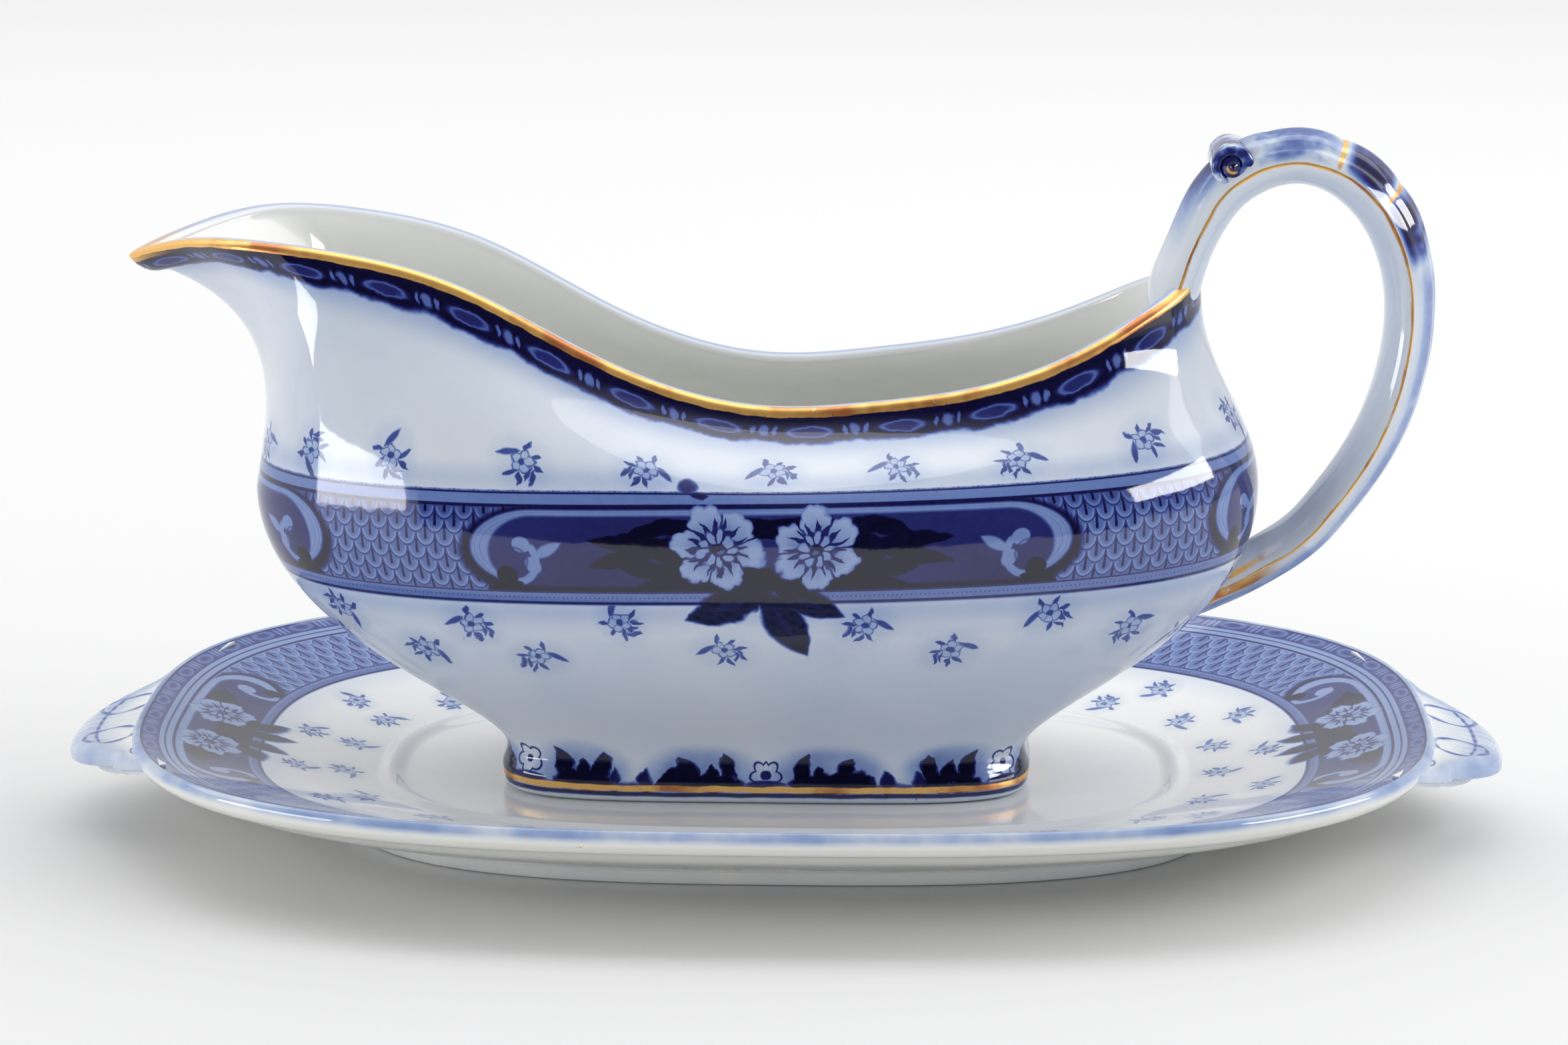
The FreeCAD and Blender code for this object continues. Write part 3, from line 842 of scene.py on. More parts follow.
# ---------------------------------------------------------------- printed motifs
def sprig(tree):
    """A small flower with leaf sprays, as ink from 0 to 1."""
    x, y = uv_pair(tree, "sprig")
    stray = noise(tree, 650.0, 1.0)
    x = x * 1.06 + stray.linear(1.4, -0.7)
    y = y * 1.06 + stray.linear(-1.4, 0.7)
    radius, angle = polar(x, y)
    petals = ripples(angle, 2.5, 0.3).linear(0.75, 1.25)
    outline = (radius - petals).line(0.0, 0.15, 0.28)
    petals_apart = (ripples(angle, 2.5, 0.3) * radius).rise(0.5, 0.15) * radius.rise(1.9, 1.4)
    leaves = blades(x, y, [
        (3.0, -0.3, 2.2, 0.62, -42.0), (-1.3, -2.5, 1.3, 0.50, 52.0), (0.3, -2.5, 1.3, 0.46, -58.0),
        (-3.0, -0.9, 1.6, 0.50, 62.0), (-2.1, -1.1, 1.3, 0.42, 78.0), (-2.6, 0.6, 1.3, 0.42, -12.0),
        (1.2, 2.3, 1.1, 0.50, 80.0), (-1.2, 2.0, 0.9, 0.42, -40.0),
    ], 0.5)
    ink = any_of([outline * 0.85, leaves * 0.95, radius.rise(0.95, 0.4), petals_apart * 0.7,
                  radius.rise(2.5, 1.6) * 0.42])
    halo = spot(oval(x, y, 0.0, -0.3, 5.2, 3.9), 0.9)
    return ink, halo


def peony(tree):
    """Lobed outer petals, a spiky shadow, an inner whorl and an eye. Gives outline and ink."""
    x, y = uv_pair(tree, "flower")
    stray = noise(tree, 420.0, 2.0)
    other = noise(tree, 300.0, 2.0)
    x = x + stray.linear(2.4, -1.2)
    y = (y + other.linear(2.4, -1.2)) * 1.10
    radius, angle = polar(x, y)
    gaps = ripples(angle, 3.0, 0.5)
    frill = ripples(angle, 9.0, 0.2)
    edge = gaps.math("POWER", 0.6).linear(2.3, 4.75) + frill * 0.45
    outline = (radius - edge).rise(0.3, -0.3)
    ink = (radius - edge).rise(-0.9, 0.1) * 0.14 + (radius / 7.0).rise(0.9, 0.3) * 0.12 + 0.31
    ink = ink.most((gaps * radius).rise(1.5, 0.3) * 0.66)
    spikes = ripples(angle, 8.0, 0.9).linear(-2.0, 5.2)
    ink = ink.most((radius - spikes).rise(0.7, -0.5) * 0.78)
    whorl = ripples(angle, 4.5, 0.2)
    inner_edge = whorl.math("POWER", 0.7).linear(1.4, 1.75)
    inner = (radius - inner_edge).rise(0.3, -0.3)
    ink = (whorl * radius).rise(0.5, 1.1).linear(-0.34, 0.70).over(ink, inner)
    ink = ink.most(radius.rise(1.7, 0.9) * 0.90)
    dab = spot(oval(x, y, 0.25, -0.3, 0.65, 0.4, 40.0), 0.5)
    return outline, laid(0.45, ink, dab * 0.8)


def scales(x, y, width=3.15, height=2.2):
    """Rows of hanging scales, each with an outlined edge and a dark wedge at its top."""
    row = (y / height).math("FLOOR")
    drop = (row + 1.0) * height - y
    odd = (row * 0.5).math("FRACT") * 2.0
    across = x / width + odd * 0.5
    own = (across.math("FRACT") - 0.5) * width
    inside = own.math("MULTIPLY_ADD", own, drop * drop * 0.62).math("SQRT")
    reach = width / 2.0
    hit = (inside - reach).rise(0.1, -0.1)
    edge = (inside - reach).line(-0.05, 0.09, 0.26)
    beside = ((across + 0.5).math("FRACT") - 0.5) * width
    wedge = abs(own).rise(0.46, 0.12) * drop.rise(1.25, 0.7)
    below = abs(beside).rise(0.42, 0.12) * hit.inverse()
    shade = (inside / reach).rise(0.45, 0.95) * -0.13 + 0.50
    shade = shade + hit.inverse() * 0.14
    ink = shade.most(edge * 0.68)
    return ink.most(wedge * 0.86).most(below * 0.80)


def cartouche(ink, field, x, y, straight, shadow, outline, hollow, dark):
    """A panel of the field's cobalt with round ends and a dark shadow round it, over the ink.
    Gives the ink, the outline's and the hollow's ovals, and the crescent between them."""
    beyond = (x - straight).most(0.0)
    ink = laid(dark, ink, spot(oval(beyond, y, 0.0, *shadow), 0.16))
    outline = oval(beyond, y, 0.0, *outline)
    ink = field.over(ink, spot(outline, 0.12))
    hollow = oval(beyond, y, 0.0, *hollow)
    return ink, outline, hollow, spot(outline, 0.10) * spot(hollow, 0.12).inverse()


def belt_ink(tree, x, y, ground):
    """The printed belt round the belly, drawn over the ink that is already there."""
    wobble = wander(tree, 260.0, 0.45)
    wobble_y = wander(tree, 310.0, 0.45)
    far = abs(x)
    fold = far.least(far.linear(-1.0, 118.7))
    inside = y.between(-0.15, BELT_HEIGHT + 0.1, 0.2)

    # Scale panels and the cobalt ground of the cartouches.
    ink = scales(x, y - 2.3)
    ink = ink + y.rise(11.0, 16.0) * 0.10
    # The cobalt ground varies at random, and is painted a little lighter towards its top: that gradient is a
    # painted reflection.
    field = noise(tree, 45.0, 2.0).linear(0.16, 0.68) + y.rise(4.0, 12.0) * -0.02
    ink, outline, hollow, crescent = cartouche(ink, field, fold, y, 36.6, (8.6, 11.4, 7.3),
                                               (9.25, 9.8, 6.15), (8.6, 6.9, 5.8), 0.97)
    crescent = crescent * y.rise(6.0, 8.0).most(fold.rise(38.5, 41.5))
    ink = ink.most(spot(hollow, 0.5) * spot(hollow.linear(1.3, 0.0), 0.3).inverse() * 0.86)

    # Dark leaves on the ground, light scroll work over it.
    lx = fold + wobble * 1.3
    ly = y + wobble_y * 1.3
    leaves = blades(lx, ly, [
        (21.0, 10.2, 7.6, 1.7, 4.0), (21.5, 8.0, 7.4, 1.7, -13.0), (17.0, 12.6, 5.6, 1.5, -12.0),
        (17.5, 5.6, 7.0, 1.8, 10.0), (15.5, 3.4, 6.5, 1.5, -3.0),
    ])
    middle = ovals(lx, ly, [(10.0, 8.8, 9.0, 3.6), (6.0, 4.3, 9.0, 2.6), (6.0, 12.2, 12.0, 1.9)], 0.3)
    leaves = leaves.most(middle)
    ink = ink.most(leaves * 0.98)
    stem = polar(fold - 39.6, y - 7.3)[0]
    tulip = any_of([
        spot(oval(fold, y, 38.3, 9.9, 1.5, 1.25, 20.0), 0.25),
        (stem - 3.5).line(0.0, 0.62, 0.2) * fold.rise(40.0, 39.0) * y.rise(10.6, 9.6),
        spot(blade(fold, y, 34.4, 9.0, 2.7, 0.95, -28.0), 0.3),
        spot(oval(fold, y, 36.6, 6.6, 1.2, 1.5, -30.0), 0.3),
    ])
    tulip = tulip * (stem - 2.1).line(0.0, 0.16, 0.2).linear(-0.5, 1.0)
    ink = laid(0.41, ink, tulip)
    outline_share = outline.math("SQRT")
    groove = (outline_share - 0.93).line(0.0, 0.006, 0.02).most((outline_share - 0.84).line(0.0, 0.006, 0.02))
    ink = laid(0.40, ink, crescent)
    ink = ink.most(groove * crescent * 0.50)
    ink = ink.most(spot(oval(fold, y, 40.9, 4.9, 1.75, 1.65), 0.25) * 1.0)
    ink = ink.most(spot(oval(fold, y, 41.6, 2.9, 3.2, 0.95, -12.0), 0.3) * 1.0)

    # Border lines above and below.
    ink = laid(0.44, ink, y.between(15.95, BELT_HEIGHT, 0.15))
    ink = printed_lines(ink, y, [(17.95, 0.22, 0.2, 0.82), (15.95, 0.32, 0.22, 0.88)])
    ink = laid(0.46, ink, y.rise(2.35, 2.1))
    dots = (x / 0.72).math("FRACT").line(0.5, 0.2, 0.2) * y.line(1.2, 0.25, 0.25)
    ink = ink.most(dots * 0.72)
    ink = printed_lines(ink, y, [(2.1, 0.2, 0.2, 0.8), (0.25, 0.30, 0.2, 0.82)])
    ink = ink.over(ground, inside)

    # Leaves that hang over the lower border, with light veins, and a bud above the belt.
    jag = wander(tree, 420.0, 0.85)
    hx = x + jag
    hy = y + jag * -0.7
    first = blade(hx, hy, -6.8, -0.4, 7.2, 2.9, 20.0)
    second = blade(hx, hy, 2.3, -3.6, 7.4, 3.0, -58.0)
    third = blade(hx, hy, 5.8, 0.2, 6.2, 2.2, -24.0)
    hang = any_of([spot(first, 0.2), spot(second, 0.2), spot(third, 0.2)])
    ink = laid(0.97, ink, hang)
    veins = first.least(second).least(third).rise(0.30, 0.12) * hang
    ink = laid(0.80, ink, veins * 0.6)
    bud = spot(oval(hx, hy, -12.4, 19.2, 1.5, 1.6), 0.9)
    sepal = spot(blade(hx, hy, -10.6, 17.6, 1.8, 0.7, -8.0), 0.6)
    return ink.most(bud * 0.72).most(sepal * 0.85)


def rim_ink(tree, x, y):
    """The bead-and-oval border under the gilt edge. y is the distance below the rim's edge."""
    cell = abs(((x - 2.0) / 14.2).math("FRACT") - 0.5) * 14.2
    wave = wander(tree, 380.0, 0.8)
    depth = cell.rise(7.1, 1.5).linear(0.55, 4.7) + wave
    mask = (y - depth).rise(0.9, -0.6) * y.rise(-0.4, 0.1)
    stray = wander(tree, 500.0, 0.8)
    cx = cell + stray
    cy = y + stray * 0.5
    egg = oval(cx, cy, 0.0, 3.0, 4.0, 1.3)
    ink = y * 0.0 + 0.95
    ink = laid(0.74, ink, spot(egg, 0.5))
    ink = laid(0.52, ink, egg.line(0.62, 0.08, 0.3))
    beads = ovals(cx, cy, [(7.1, 2.9, 0.9, 1.15)], 0.7).most(ovals(cx, cy, [(5.4, 2.8, 0.4, 0.95)], 0.8))
    ink = laid(0.50, ink, beads)
    halo = y.rise(11.0, 3.5) * y.rise(-0.5, 0.5)
    return mask, ink, halo


def foot_ink(tree, x, z):
    """Leaf garlands, arches and lines on the foot."""
    far = abs(x - 0.5)
    stray = wander(tree, 420.0, 1.2)
    fx = far + stray
    fz = z + stray * 0.6
    leaves = any_of([
        ovals(fx, fz, [(9.6, 11.2, 6.4, 1.6), (29.0, 11.3, 5.0, 1.8), (44.0, 11.6, 3.6, 2.6),
                       (57.0, 11.5, 7.0, 2.1)], 0.35),
        blades(fx, fz, [(5.8, 13.1, 3.0, 1.5, 76.0), (8.9, 12.3, 2.0, 1.4, 100.0),
                        (12.3, 13.0, 2.6, 1.6, 58.0), (26.2, 13.2, 2.9, 1.6, 108.0),
                        (29.0, 12.6, 2.3, 1.4, 84.0), (32.0, 13.6, 3.1, 1.6, 72.0),
                        (44.6, 13.6, 2.8, 1.9, 85.0), (54.0, 13.4, 2.7, 2.0, 100.0),
                        (59.5, 13.4, 2.7, 2.0, 75.0)], 0.35),
        blades(fx, fz, [(15.2, 11.8, 2.9, 1.3, 150.0)], 0.4),
        blades(fx, fz, [(19.0, 11.3, 2.3, 1.2, 90.0), (24.0, 11.3, 2.3, 1.2, 90.0)], 0.5) * 0.85,
    ])
    flower_radius, flower_angle = polar(far - 0.2, z - 12.6)
    frill = ripples(flower_angle, 3.0, 0.4).linear(0.8, 1.5)
    corner_radius, corner_angle = polar(far - 38.2, z - 13.9)
    corner = ripples(corner_angle, 2.5, 0.4).linear(0.8, 1.6)
    lines = any_of([
        (flower_radius - frill).line(0.0, 0.14, 0.3),
        (corner_radius - corner).line(0.0, 0.14, 0.3),
        corner_radius.rise(0.8, 0.4),
        flower_radius.rise(0.9, 0.5),
        ovals(far, z, [(0.0, 11.0, 3.6, 0.9), (38.0, 11.3, 3.5, 0.8)], 0.6),
    ])
    run = wander(tree, 180.0, 0.45)
    low_line = (z + run * 0.5).line(9.35, 0.38, 0.35)
    swag = fz.line(10.9, 0.55, 0.5) * far.rise(2.5, 4.0)
    fleck = noise(tree, 520.0, 2.0).rise(0.62, 0.74) * 0.30
    ink = any_of([leaves * (fleck * -1.0 + 0.98), lines * 0.78, low_line * 0.92, swag * 0.66])
    glow = [oval(far, z, *row).rise(1.0, 0.15) for row in ((9.8, 12.0, 11.5, 6.2), (29.4, 12.2, 9.5, 6.6),
                                                            (46.0, 12.0, 9.0, 6.2), (57.0, 12.0, 11.0, 6.0))]
    halo = any_of(glow + [z.rise(13.5, 10.5) * 0.45]) * z.rise(8.6, 9.6)
    near = noise(tree, 150.0, 2.0).linear(1.5, 0.1)
    return ink, halo * near


# ---------------------------------------------------------------- glaze and gilding
def srgb(red, green, blue):
    """Linear colour of an sRGB triple from 0 to 255."""
    return tuple(((v / 255.0 + 0.055) / 1.055) ** 2.4 if v > 10 else v / 255.0 / 12.92
                 for v in (red, green, blue)) + (1.0,)


INK_COLOURS = [
    (0.00, srgb(230, 231, 230)), (0.12, srgb(202, 210, 220)), (0.28, srgb(148, 167, 203)),
    (0.42, srgb(102, 125, 178)), (0.56, srgb(62, 79, 145)), (0.70, srgb(38, 43, 106)),
    (0.84, srgb(24, 23, 72)), (1.00, srgb(8, 7, 32)),
]
INSIDE_WHITE = srgb(236, 237, 234)
LIP_CREAM = srgb(222, 223, 218)
PIT_GREY = srgb(88, 90, 104)
GLAZE_IOR = 1.62
GILT_METALLIC = 0.62
GILT_BRIGHT = srgb(250, 196, 112)
GILT_WORN = srgb(196, 124, 72)


def new_material(name):
    material = bpy.data.materials.new(name)
    material.use_nodes = True
    tree = material.node_tree
    tree.nodes.clear()
    return material, tree


def finish_tree(tree, shader, kind="ShaderNodeOutputMaterial"):
    """Leads a shader to a new output node."""
    output = tree.nodes.new(kind)
    tree.links.new(shader.outputs[0], output.inputs["Surface"])


def colour_mix(tree, share, a, b):
    """Mix of two colours, each a socket or a plain colour."""
    node = tree.nodes.new("ShaderNodeMix")
    node.data_type = "RGBA"
    tree.links.new(share.socket, node.inputs["Factor"])
    sockets = [socket for socket in node.inputs if socket.type == "RGBA"]
    for socket, colour in zip(sockets, (a, b)):
        if isinstance(colour, tuple):
            socket.default_value = colour
        else:
            tree.links.new(colour, socket)
    return [socket for socket in node.outputs if socket.type == "RGBA"][0]


def glaze_finish(tree, ink, gilt=None, body=None, body_mask=None):
    """Glossy glaze over ink (0 bare, 1 blackish navy), with gilding where gilt is 1."""
    soft = noise(tree, 30.0, 3.0, 0.55)
    ink = ink + soft.linear(0.10, -0.05)
    fine = noise(tree, 900.0, 2.0)
    ink = ink * fine.linear(0.10, 0.95)
    ramp = tree.nodes.new("ShaderNodeValToRGB")
    tree.links.new(ink.socket, ramp.inputs["Fac"])
    stops = ramp.color_ramp.elements
    while len(stops) < len(INK_COLOURS):
        stops.new(0.5)
    for stop, (place, colour) in zip(stops, INK_COLOURS):
        stop.position = place
        stop.color = colour
    colour = ramp.outputs["Color"]
    if body is not None:
        colour = colour_mix(tree, body_mask, colour, body)
    pits = tree.nodes.new("ShaderNodeTexVoronoi")
    pits.inputs["Scale"].default_value = 75.0
    tree.links.new(position(tree), pits.inputs["Vector"])
    chance = tree.nodes.new("ShaderNodeSeparateColor")
    tree.links.new(pits.outputs["Color"], chance.inputs[0])
    picked = Field(tree, chance.outputs[0]).rise(0.72, 0.73)
    dot = Field(tree, pits.outputs["Distance"]).rise(0.022, 0.012) * picked
    colour = colour_mix(tree, dot * 0.75, colour, PIT_GREY)

    shader = tree.nodes.new("ShaderNodeBsdfPrincipled")
    rough = noise(tree, 120.0, 2.0).linear(0.05, 0.035)
    ripple = noise(tree, 55.0, 2.0, 0.5).linear(1.0, 0.0) + noise(tree, 420.0, 2.0).linear(0.06, 0.0)
    if gilt is not None:
        patch = noise(tree, 90.0, 3.0, 0.6)
        worn = patch.rise(0.46, 0.66)
        gold = colour_mix(tree, worn, GILT_BRIGHT, GILT_WORN)
        lost = noise(tree, 700.0, 3.0, 0.65).rise(0.66, 0.72)
        leaf = gilt * lost.linear(-0.7, 1.0)
        colour = colour_mix(tree, leaf, colour, gold)
        tree.links.new((leaf * GILT_METALLIC).socket, shader.inputs["Metallic"])
        rough = rough + leaf * 0.24
    tree.links.new(colour, shader.inputs["Base Color"])
    tree.links.new(rough.socket, shader.inputs["Roughness"])
    shader.inputs["IOR"].default_value = GLAZE_IOR
    bump = tree.nodes.new("ShaderNodeBump")
    bump.inputs["Strength"].default_value = 0.35
    bump.inputs["Distance"].default_value = 0.0006
    tree.links.new(ripple.socket, bump.inputs["Height"])
    tree.links.new(bump.outputs["Normal"], shader.inputs["Normal"])
    finish_tree(tree, shader)


def bowl_material():
    material, tree = new_material("bowl_glaze")
    belt_x, belt_y = uv_pair(tree, "belt")
    rim_x, rim_y = uv_pair(tree, "rim")
    foot_x, foot_z = uv_pair(tree, "foot")
    leafy, leafy_halo = sprig(tree)
    outside = rim_y.rise(-0.6, -0.1)
    cloud = noise(tree, 22.0, 2.0)
    ground = leafy_halo * 0.05 + cloud.linear(0.10, 0.075)
    ground = ground.most(leafy * 0.60)
    garland, garland_halo = foot_ink(tree, foot_x, foot_z)
    ground = (ground + garland_halo * 0.26).most(garland)
    ground = ground + belt_y.line(20.0, 0.5, 3.0) * 0.08 + belt_y.line(-1.5, 0.5, 3.0) * 0.08
    ink = belt_ink(tree, belt_x, belt_y, ground)
    flower, petals = peony(tree)
    ink = petals.over(ink, flower)
    border, beads, border_halo = rim_ink(tree, rim_x, rim_y)
    ink = ink + border_halo * 0.16
    ink = beads.over(ink, border)
    ink = ink * outside
    lip_blue = rim_y.line(-2.6, 0.8, 1.1) * 0.24
    ink = ink.most(lip_blue)
    edge = wander(tree, 260.0, 0.4, 3.0)
    gilt = (rim_y + edge).between(-1.75, 0.25, 0.12)
    spout = rim_x.rise(-84.0, -104.0)
    gilt = gilt.most((rim_y + edge).between(-4.2, 1.1, 0.15) * spout)
    inside = rim_y.rise(-4.0, -6.0)
    glaze_finish(tree, ink, gilt, INSIDE_WHITE, inside)
    return material


def foot_material():
    material, tree = new_material("foot_glaze")
    x, z = uv_pair(tree, "foot")
    garland, halo = foot_ink(tree, x, z)
    cloud = noise(tree, 22.0, 2.0)
    ink = (halo * 0.26 + cloud.linear(0.10, 0.075)).most(garland)
    wobble = wander(tree, 300.0, 0.25)
    gilt = (z + wobble).between(9.85, 10.85, 0.12)
    glaze_finish(tree, ink, gilt)
    return material


def handle_material():
    material, tree = new_material("handle_glaze")
    station, turn = uv_pair(tree, "strap")
    blotch = noise(tree, 120.0, 3.0, 0.6)
    shade = blotch.rise(0.35, 0.65)
    outer = turn.between(20.0, 164.0, 14.0)
    blocks = any_of([station.between(5.2, 6.25, 0.15), station.between(6.55, 7.8, 0.35)])
    ink = blocks * outer * shade.linear(0.5, 0.30)
    ink = ink.most(station.between(2.9, 4.9, 0.4) * outer * shade * 0.38)
    rising = station.between(1.5, 2.8, 1.0) * turn.between(50.0, 130.0, 32.0)
    ink = ink.most(rising * shade.linear(0.3, 0.42))
    band = station.rise(7.6, 8.6) * turn.between(40.0, 140.0, 30.0)
    ink = ink.most(band * shade.linear(0.16, 0.20))
    # The whole strap gets a grey-blue tint of 0.10. Its inner side (turns 200 to 340), which faces away from
    # the light, gets 0.05 more: that extra is painted shade.
    inner = turn.between(200.0, 340.0, 30.0)
    ink = ink + inner * 0.05 + 0.10
    ripple = wander(tree, 200.0, 7.0, 3.0)
    side = turn + ripple
    arris = any_of([side.line(0.0, 7.0, 3.0), side.line(181.0, 6.0, 3.0), side.line(360.0, 7.0, 3.0)])
    arris = arris * blotch.rise(0.30, 0.42).linear(0.75, 0.25)
    bars = any_of([station.line(5.02, 0.05, 0.03), station.line(6.42, 0.05, 0.03)]) * outer
    strokes = any_of([side.line(160.0, 17.0, 4.0), side.line(20.0, 17.0, 4.0), side.line(208.0, 6.0, 3.0)])
    gilt = arris.most(bars).most(strokes * station.between(14.8, 17.4, 0.4))
    glaze_finish(tree, ink, gilt)
    return material


def scroll_material():
    material, tree = new_material("scroll_glaze")
    radius, turn = uv_pair(tree, "scroll")
    spiral = (radius - turn.linear(SPIRAL_GROWTH / 360.0, SPIRAL_START)).line(0.0, 0.06, 0.06)
    blotch = noise(tree, 160.0, 3.0, 0.6).rise(0.4, 0.62)
    ink = (spiral * 0.85).most(blotch * 0.72).most(radius.rise(0.3, 0.18) * 0.8)
    ink = ink + 0.08
    gilt = radius.line(0.30, 0.06, 0.05) * turn.between(190.0, 300.0, 20.0)
    glaze_finish(tree, ink, gilt)
    return material


def stand_material(whole):
    material, tree = new_material("stand_glaze_print")
    x, d = uv_pair(tree, "edge")
    leafy, leafy_halo = sprig(tree)
    ground = (leafy * 0.55).most(leafy_halo * 0.08)

    # The border: distance d from the stand's edge inwards. Cartouches sit at both ends.
    half = whole / 2.0
    spout_end = x.between(half / 2.0, 1.5 * half, 0.01)
    shifted = x - spout_end * SPOUT_END_SHIFT
    along = (shifted / half + 0.5).math("FRACT") - 0.5
    signed = along * half
    far = abs(signed)
    y = d.linear(-1.0, 17.8)
    inside = d.between(1.3, 17.9, 0.2)
    ink = scales(x, y - 1.9, 3.9, 2.2)
    field = noise(tree, 45.0, 2.0).linear(0.16, 0.66)
    ink, _, _, crescent = cartouche(ink, field, far, y, 24.5, (6.3, 10.5, 5.9), (6.6, 9.2, 5.1),
                                    (6.4, 6.6, 4.2), 0.95)
    crescent = crescent * y.rise(6.5, 8.5).most(far.rise(26.0, 29.0))
    wobble = wander(tree, 260.0, 1.0)
    wobble_y = wander(tree, 300.0, 1.0)
    lx = far + wobble
    ly = y + wobble_y
    leaves = blades(lx, ly, [(14.5, 7.5, 9.0, 3.4, 10.0)]).most(ovals(lx, ly, [(4.0, 4.0, 8.5, 4.0)], 0.3))
    ink = ink.most(leaves * 0.98)
    curl = any_of([
        spot(oval(far, y, 27.0, 6.8, 1.7, 1.4), 0.2),
        (polar(far - 28.0, y - 4.9)[0] - 2.8).line(0.0, 0.6, 0.2) * far.rise(28.6, 27.4),
    ])
    ink = laid(0.36, ink, curl)
    ink = laid(0.36, ink, crescent)
    ink = ink.most(spot(oval(far, y, 29.5, 3.4, 1.6, 1.4), 0.25))
    ink = laid(0.36, ink, y.between(11.6, 14.2, 0.15))
    ink = printed_lines(ink, y, [(12.0, 0.25, 0.2, 0.84), (13.2, 0.18, 0.2, 0.72)])
    # Bead border outside the lines.
    cell = abs((x / 8.6).math("FRACT") - 0.5) * 8.6
    bead = y.rise(13.95, 14.1)
    ink = laid(0.68, ink, bead)
    egg = oval(cell, d, 0.0, 2.4, 2.5, 1.05)
    ink = laid(0.50, ink, egg.between(0.25, 1.0, 0.3) * bead)
    bars = ovals(cell, d, [(4.3, 2.4, 0.4, 1.1), (3.3, 2.4, 0.3, 1.0)], 0.3)
    ink = laid(0.44, ink, bars * bead)
    ink = laid(0.46, ink, y.rise(1.9, 1.7))
    dots = (x / 0.8).math("FRACT").line(0.5, 0.2, 0.2) * y.line(1.0, 0.22, 0.25)
    ink = ink.most(dots * 0.72)
    ink = printed_lines(ink, y, [(1.8, 0.2, 0.2, 0.78), (0.2, 0.25, 0.2, 0.78)])
    ink = ink.over(ground, inside)
    spill = blades(signed + wobble * 0.6, y + wobble_y * 0.6, [
        (-8.5, 0.6, 5.0, 2.2, 35.0), (-3.0, 0.3, 4.6, 2.5, 75.0),
        (4.0, 0.4, 4.6, 2.3, 120.0), (10.0, 1.2, 4.5, 2.0, 160.0),
    ], 0.5)
    ink = ink.most(spill * 0.92)
    flower, petals = peony(tree)
    ink = petals.over(ink, flower)
    ink = ink + d.rise(24.0, 17.0) * d.rise(16.0, 18.0) * 0.10
    ink = ink * 0.94

    # The lip: navy line, then a light-blue run that thins out towards the creamy edge.
    flow = noise(tree, 70.0, 3.0, 0.6)
    lip = d.rise(1.5, 1.2) * d.rise(-2.6, -0.4)
    ink = laid(0.0, ink, d.rise(1.45, 1.2))
    ink = ink.most(lip * flow.linear(0.55, -0.02))
    ink = ink.most(d.line(1.25, 0.22, 0.22) * 0.8)
    creamy = d.rise(-0.6, -2.2)
    specks = noise(tree, 600.0, 3.0, 0.7).rise(0.70, 0.74) * d.between(-2.5, 0.5, 0.6)
    glaze_finish(tree, ink, specks, LIP_CREAM, creamy)
    return material


def base_ring_material():
    """Glaze with the slightest flow of blue."""
    material, tree = new_material("base_ring_glaze")
    glaze_finish(tree, noise(tree, 85.0, 3.0, 0.6).rise(0.4, 0.75) * 0.03 + 0.02)
    return material


def lug_material():
    material, tree = new_material("lug_glaze")
    y, p = uv_pair(tree, "lug")
    flow = noise(tree, 85.0, 3.0, 0.6)
    top = p.rise(1.02, 0.98)
    far = abs(y)
    scroll = any_of([
        (polar(far - 9.0, p.linear(14.0, -7.5))[0] - 4.4).line(0.0, 0.45, 0.3) * p.rise(0.2, 0.3),
        (polar(far - 22.5, p.linear(14.0, -5.5))[0] - 2.0).line(0.0, 0.45, 0.3),
        p.line(0.70, 0.025, 0.02) * far.rise(15.0, 12.0),
    ])
    hatch = (y / 0.9).math("FRACT").line(0.5, 0.14, 0.2) * p.between(0.25, 0.62, 0.08) * far.rise(9.0, 6.0)
    ink = (scroll * 0.50).most(hatch * 0.16) * top
    ink = ink.most(flow.linear(0.4, 0.02) * p.between(0.55, 1.25, 0.25))
    glaze_finish(tree, ink)
    return material


# ---------------------------------------------------------------- build
bowl = make_bowl()
foot = make_foot()
handle = make_handle()
scroll = make_scroll()
stand, stand_round = make_stand()
base_ring = make_base_ring()
lug_near_handle = make_lug("shell_lug_handle_end", "stand_lug_handle_end", 1.0)
lug_near_spout = make_lug("shell_lug_spout_end", "stand_lug_spout_end", -1.0)

lug_paint = lug_material()
for piece, material in (
        (bowl, bowl_material()), (foot, foot_material()), (handle, handle_material()),
        (scroll, scroll_material()), (stand, stand_material(stand_round)), (base_ring, base_ring_material()),
        (lug_near_handle, lug_paint), (lug_near_spout, lug_paint)):
    piece.data.materials.append(material)


# ---------------------------------------------------------------- stage, camera and light
def look_at(thing, target):
    """Turns a camera or a light so that it faces a point."""
    away = thing.location - Vector(target)
    thing.rotation_euler = away.to_track_quat("Z", "Y").to_euler()


def stage_sheet(name, material_name, corners):
    """A flat sheet that isn't part of the object, and its material's empty node tree."""
    mesh = bpy.data.meshes.new(name)
    mesh.from_pydata(corners, [], [(0, 1, 2, 3)])
    sheet = bpy.data.objects.new(name, mesh)
    bpy.context.scene.collection.objects.link(sheet)
    material, tree = new_material(material_name)
    mesh.materials.append(material)
    return sheet, tree


def make_floor():
    """White paper, a hair below the stand so that the two don't share a plane."""
    reach = 4.0
    corners = [(-reach, -reach, 0.0), (reach, -reach, 0.0), (reach, reach, 0.0), (-reach, reach, 0.0)]
    floor, tree = stage_sheet("floor", "floor_paper", corners)
    floor.location.z = -0.0001
    shader = tree.nodes.new("ShaderNodeBsdfPrincipled")
    shader.inputs["Base Color"].default_value = (0.75, 0.75, 0.75, 1.0)
    shader.inputs["Roughness"].default_value = 0.6
    shader.inputs["Specular IOR Level"].default_value = 0.2
    finish_tree(tree, shader)


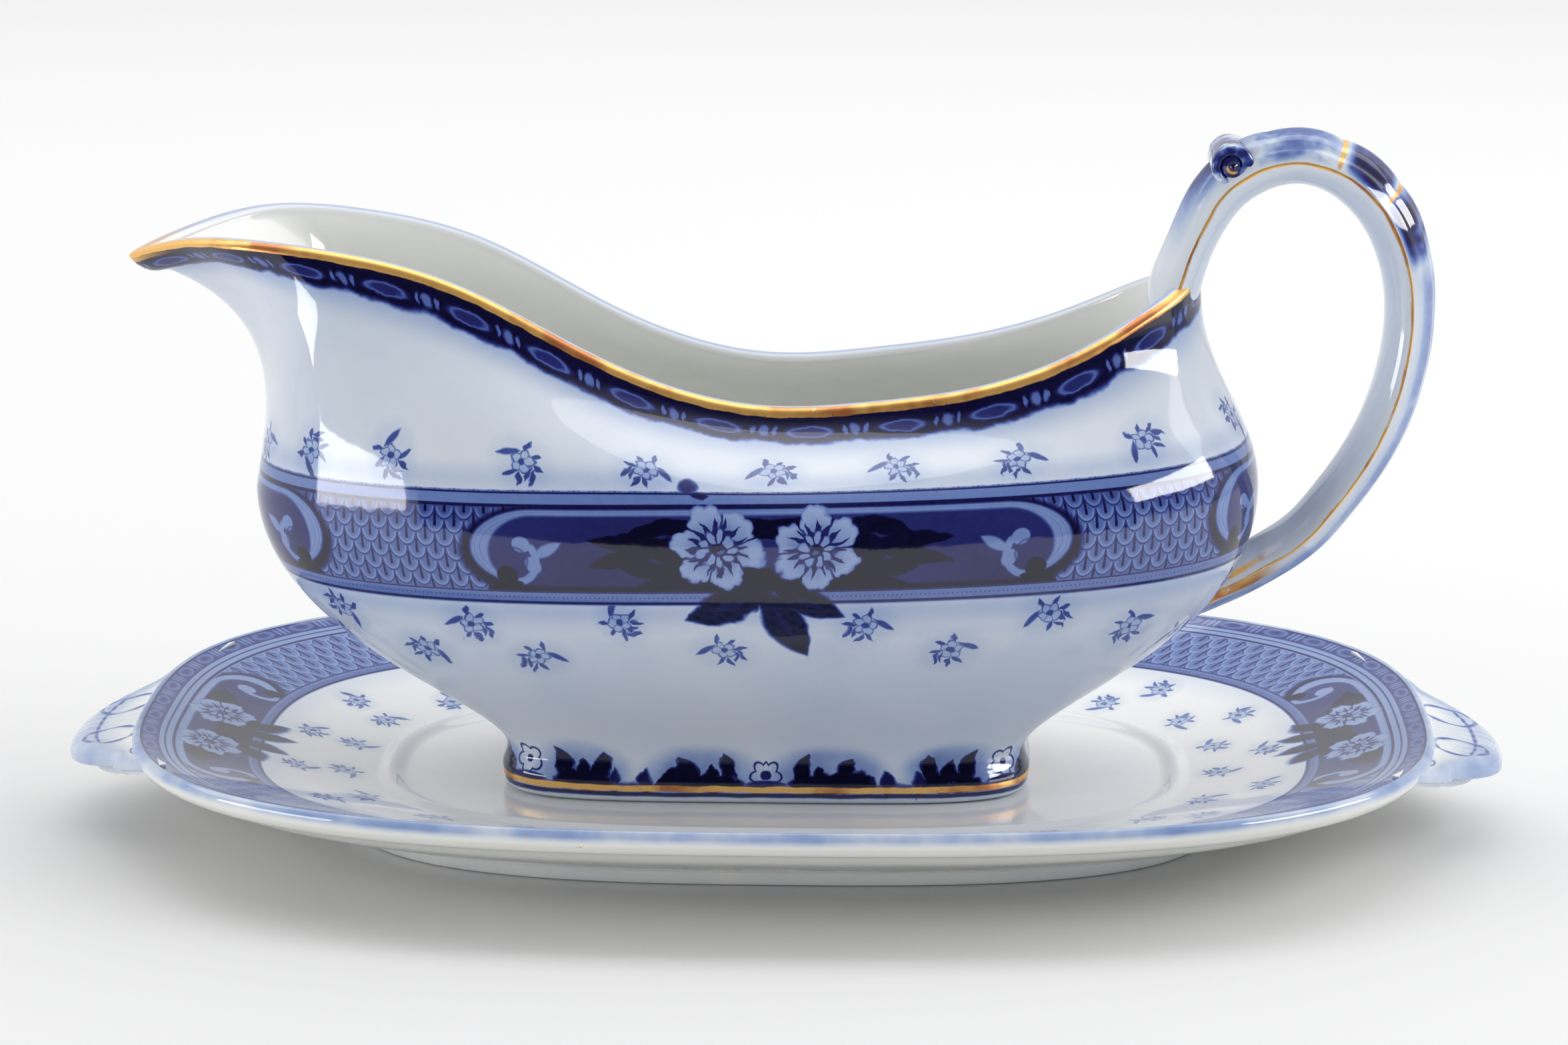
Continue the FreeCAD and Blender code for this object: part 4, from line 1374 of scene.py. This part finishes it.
def make_flag():
    """A black card between the camera and the boat. Only reflections see it: it gives the glaze
    its dark front, as a photographer's flag does."""
    left, right, near, low, high = -0.20, 0.27, -0.21, 0.001, 0.40
    corners = [(left, near, low), (right, near, low), (right, near, high), (left, near, high)]
    flag, tree = stage_sheet("flag", "flag_felt", corners)
    shader = tree.nodes.new("ShaderNodeBsdfDiffuse")
    shader.inputs["Color"].default_value = (0.012, 0.012, 0.015, 1.0)
    finish_tree(tree, shader)
    flag.visible_camera = False
    flag.visible_diffuse = False
    flag.visible_shadow = False
    flag.visible_transmission = False


BOAT_MIDDLE = (0.0, 0.0, 0.06)


def soft_box(name, azimuth, elevation, distance, width, height, power, seen="both", target=BOAT_MIDDLE):
    """A soft box; azimuth 0 stands on the camera's side and grows towards +X. seen: whether it
    lights the surfaces ("diffuse"), shows as a reflection in the glaze ("glossy"), or both."""
    light = bpy.data.lights.new(name, "AREA")
    light.shape = "RECTANGLE"
    light.size = width
    light.size_y = height
    light.energy = power
    box = bpy.data.objects.new(name, light)
    bpy.context.scene.collection.objects.link(box)
    a = math.radians(azimuth)
    e = math.radians(elevation)
    box.location = (distance * math.cos(e) * math.sin(a), -distance * math.cos(e) * math.cos(a),
                    distance * math.sin(e) + target[2])
    look_at(box, target)
    box.visible_glossy = seen != "diffuse"
    box.visible_diffuse = seen != "glossy"
    return box


def make_world():
    """A pale room that is darker on the camera's side, so that the glaze has depth."""
    world = bpy.data.worlds.new("studio")
    world.use_nodes = True
    tree = world.node_tree
    tree.nodes.clear()
    place = tree.nodes.new("ShaderNodeTexCoord")
    parts = tree.nodes.new("ShaderNodeSeparateXYZ")
    tree.links.new(place.outputs["Generated"], parts.inputs[0])
    back = Field(tree, parts.outputs[1]).rise(-0.45, 0.15)
    colour = colour_mix(tree, back, (0.10, 0.10, 0.11, 1.0), (1.0, 1.0, 1.0, 1.0))
    shader = tree.nodes.new("ShaderNodeBackground")
    shader.inputs["Strength"].default_value = 0.80
    tree.links.new(colour, shader.inputs["Color"])
    finish_tree(tree, shader, "ShaderNodeOutputWorld")
    bpy.context.scene.world = world


CAMERA_PLACE = (0.0227, -0.700, 0.224)
CAMERA_TARGET = (0.0, 0.0, 0.0487)
CAMERA_LENS = 103.0


def make_camera():
    camera = bpy.data.cameras.new("camera")
    camera.lens = CAMERA_LENS
    camera.sensor_width = 36.0
    camera.clip_start = 0.01
    thing = bpy.data.objects.new("camera", camera)
    bpy.context.scene.collection.objects.link(thing)
    thing.location = CAMERA_PLACE
    look_at(thing, CAMERA_TARGET)
    bpy.context.scene.camera = thing


make_floor()
make_flag()
make_world()
make_camera()
bpy.context.scene.view_settings.view_transform = "Standard"
soft_box("left_light", -58.0, 15.0, 0.90, 0.50, 0.44, 2.8, "diffuse")
soft_box("left_shine", -61.0, -1.0, 0.42, 0.23, 0.105, 0.55, "glossy", (0.0, 0.0, 0.055))
soft_box("right_light", 72.0, 31.0, 0.85, 0.75, 0.46, 3.2, "diffuse")
soft_box("right_shine", 72.0, 21.5, 0.85, 0.72, 0.24, 6.5, "glossy")
soft_box("top_shine", 168.0, 73.0, 0.94, 0.36, 0.26, 0.06, "glossy")
soft_box("front_fill", 5.0, 4.0, 1.10, 2.60, 0.30, 4.2, "diffuse")
soft_box("backdrop_light", 180.0, 60.0, 1.30, 3.0, 1.4, 21.0, "both", (0.0, 1.25, 0.0))
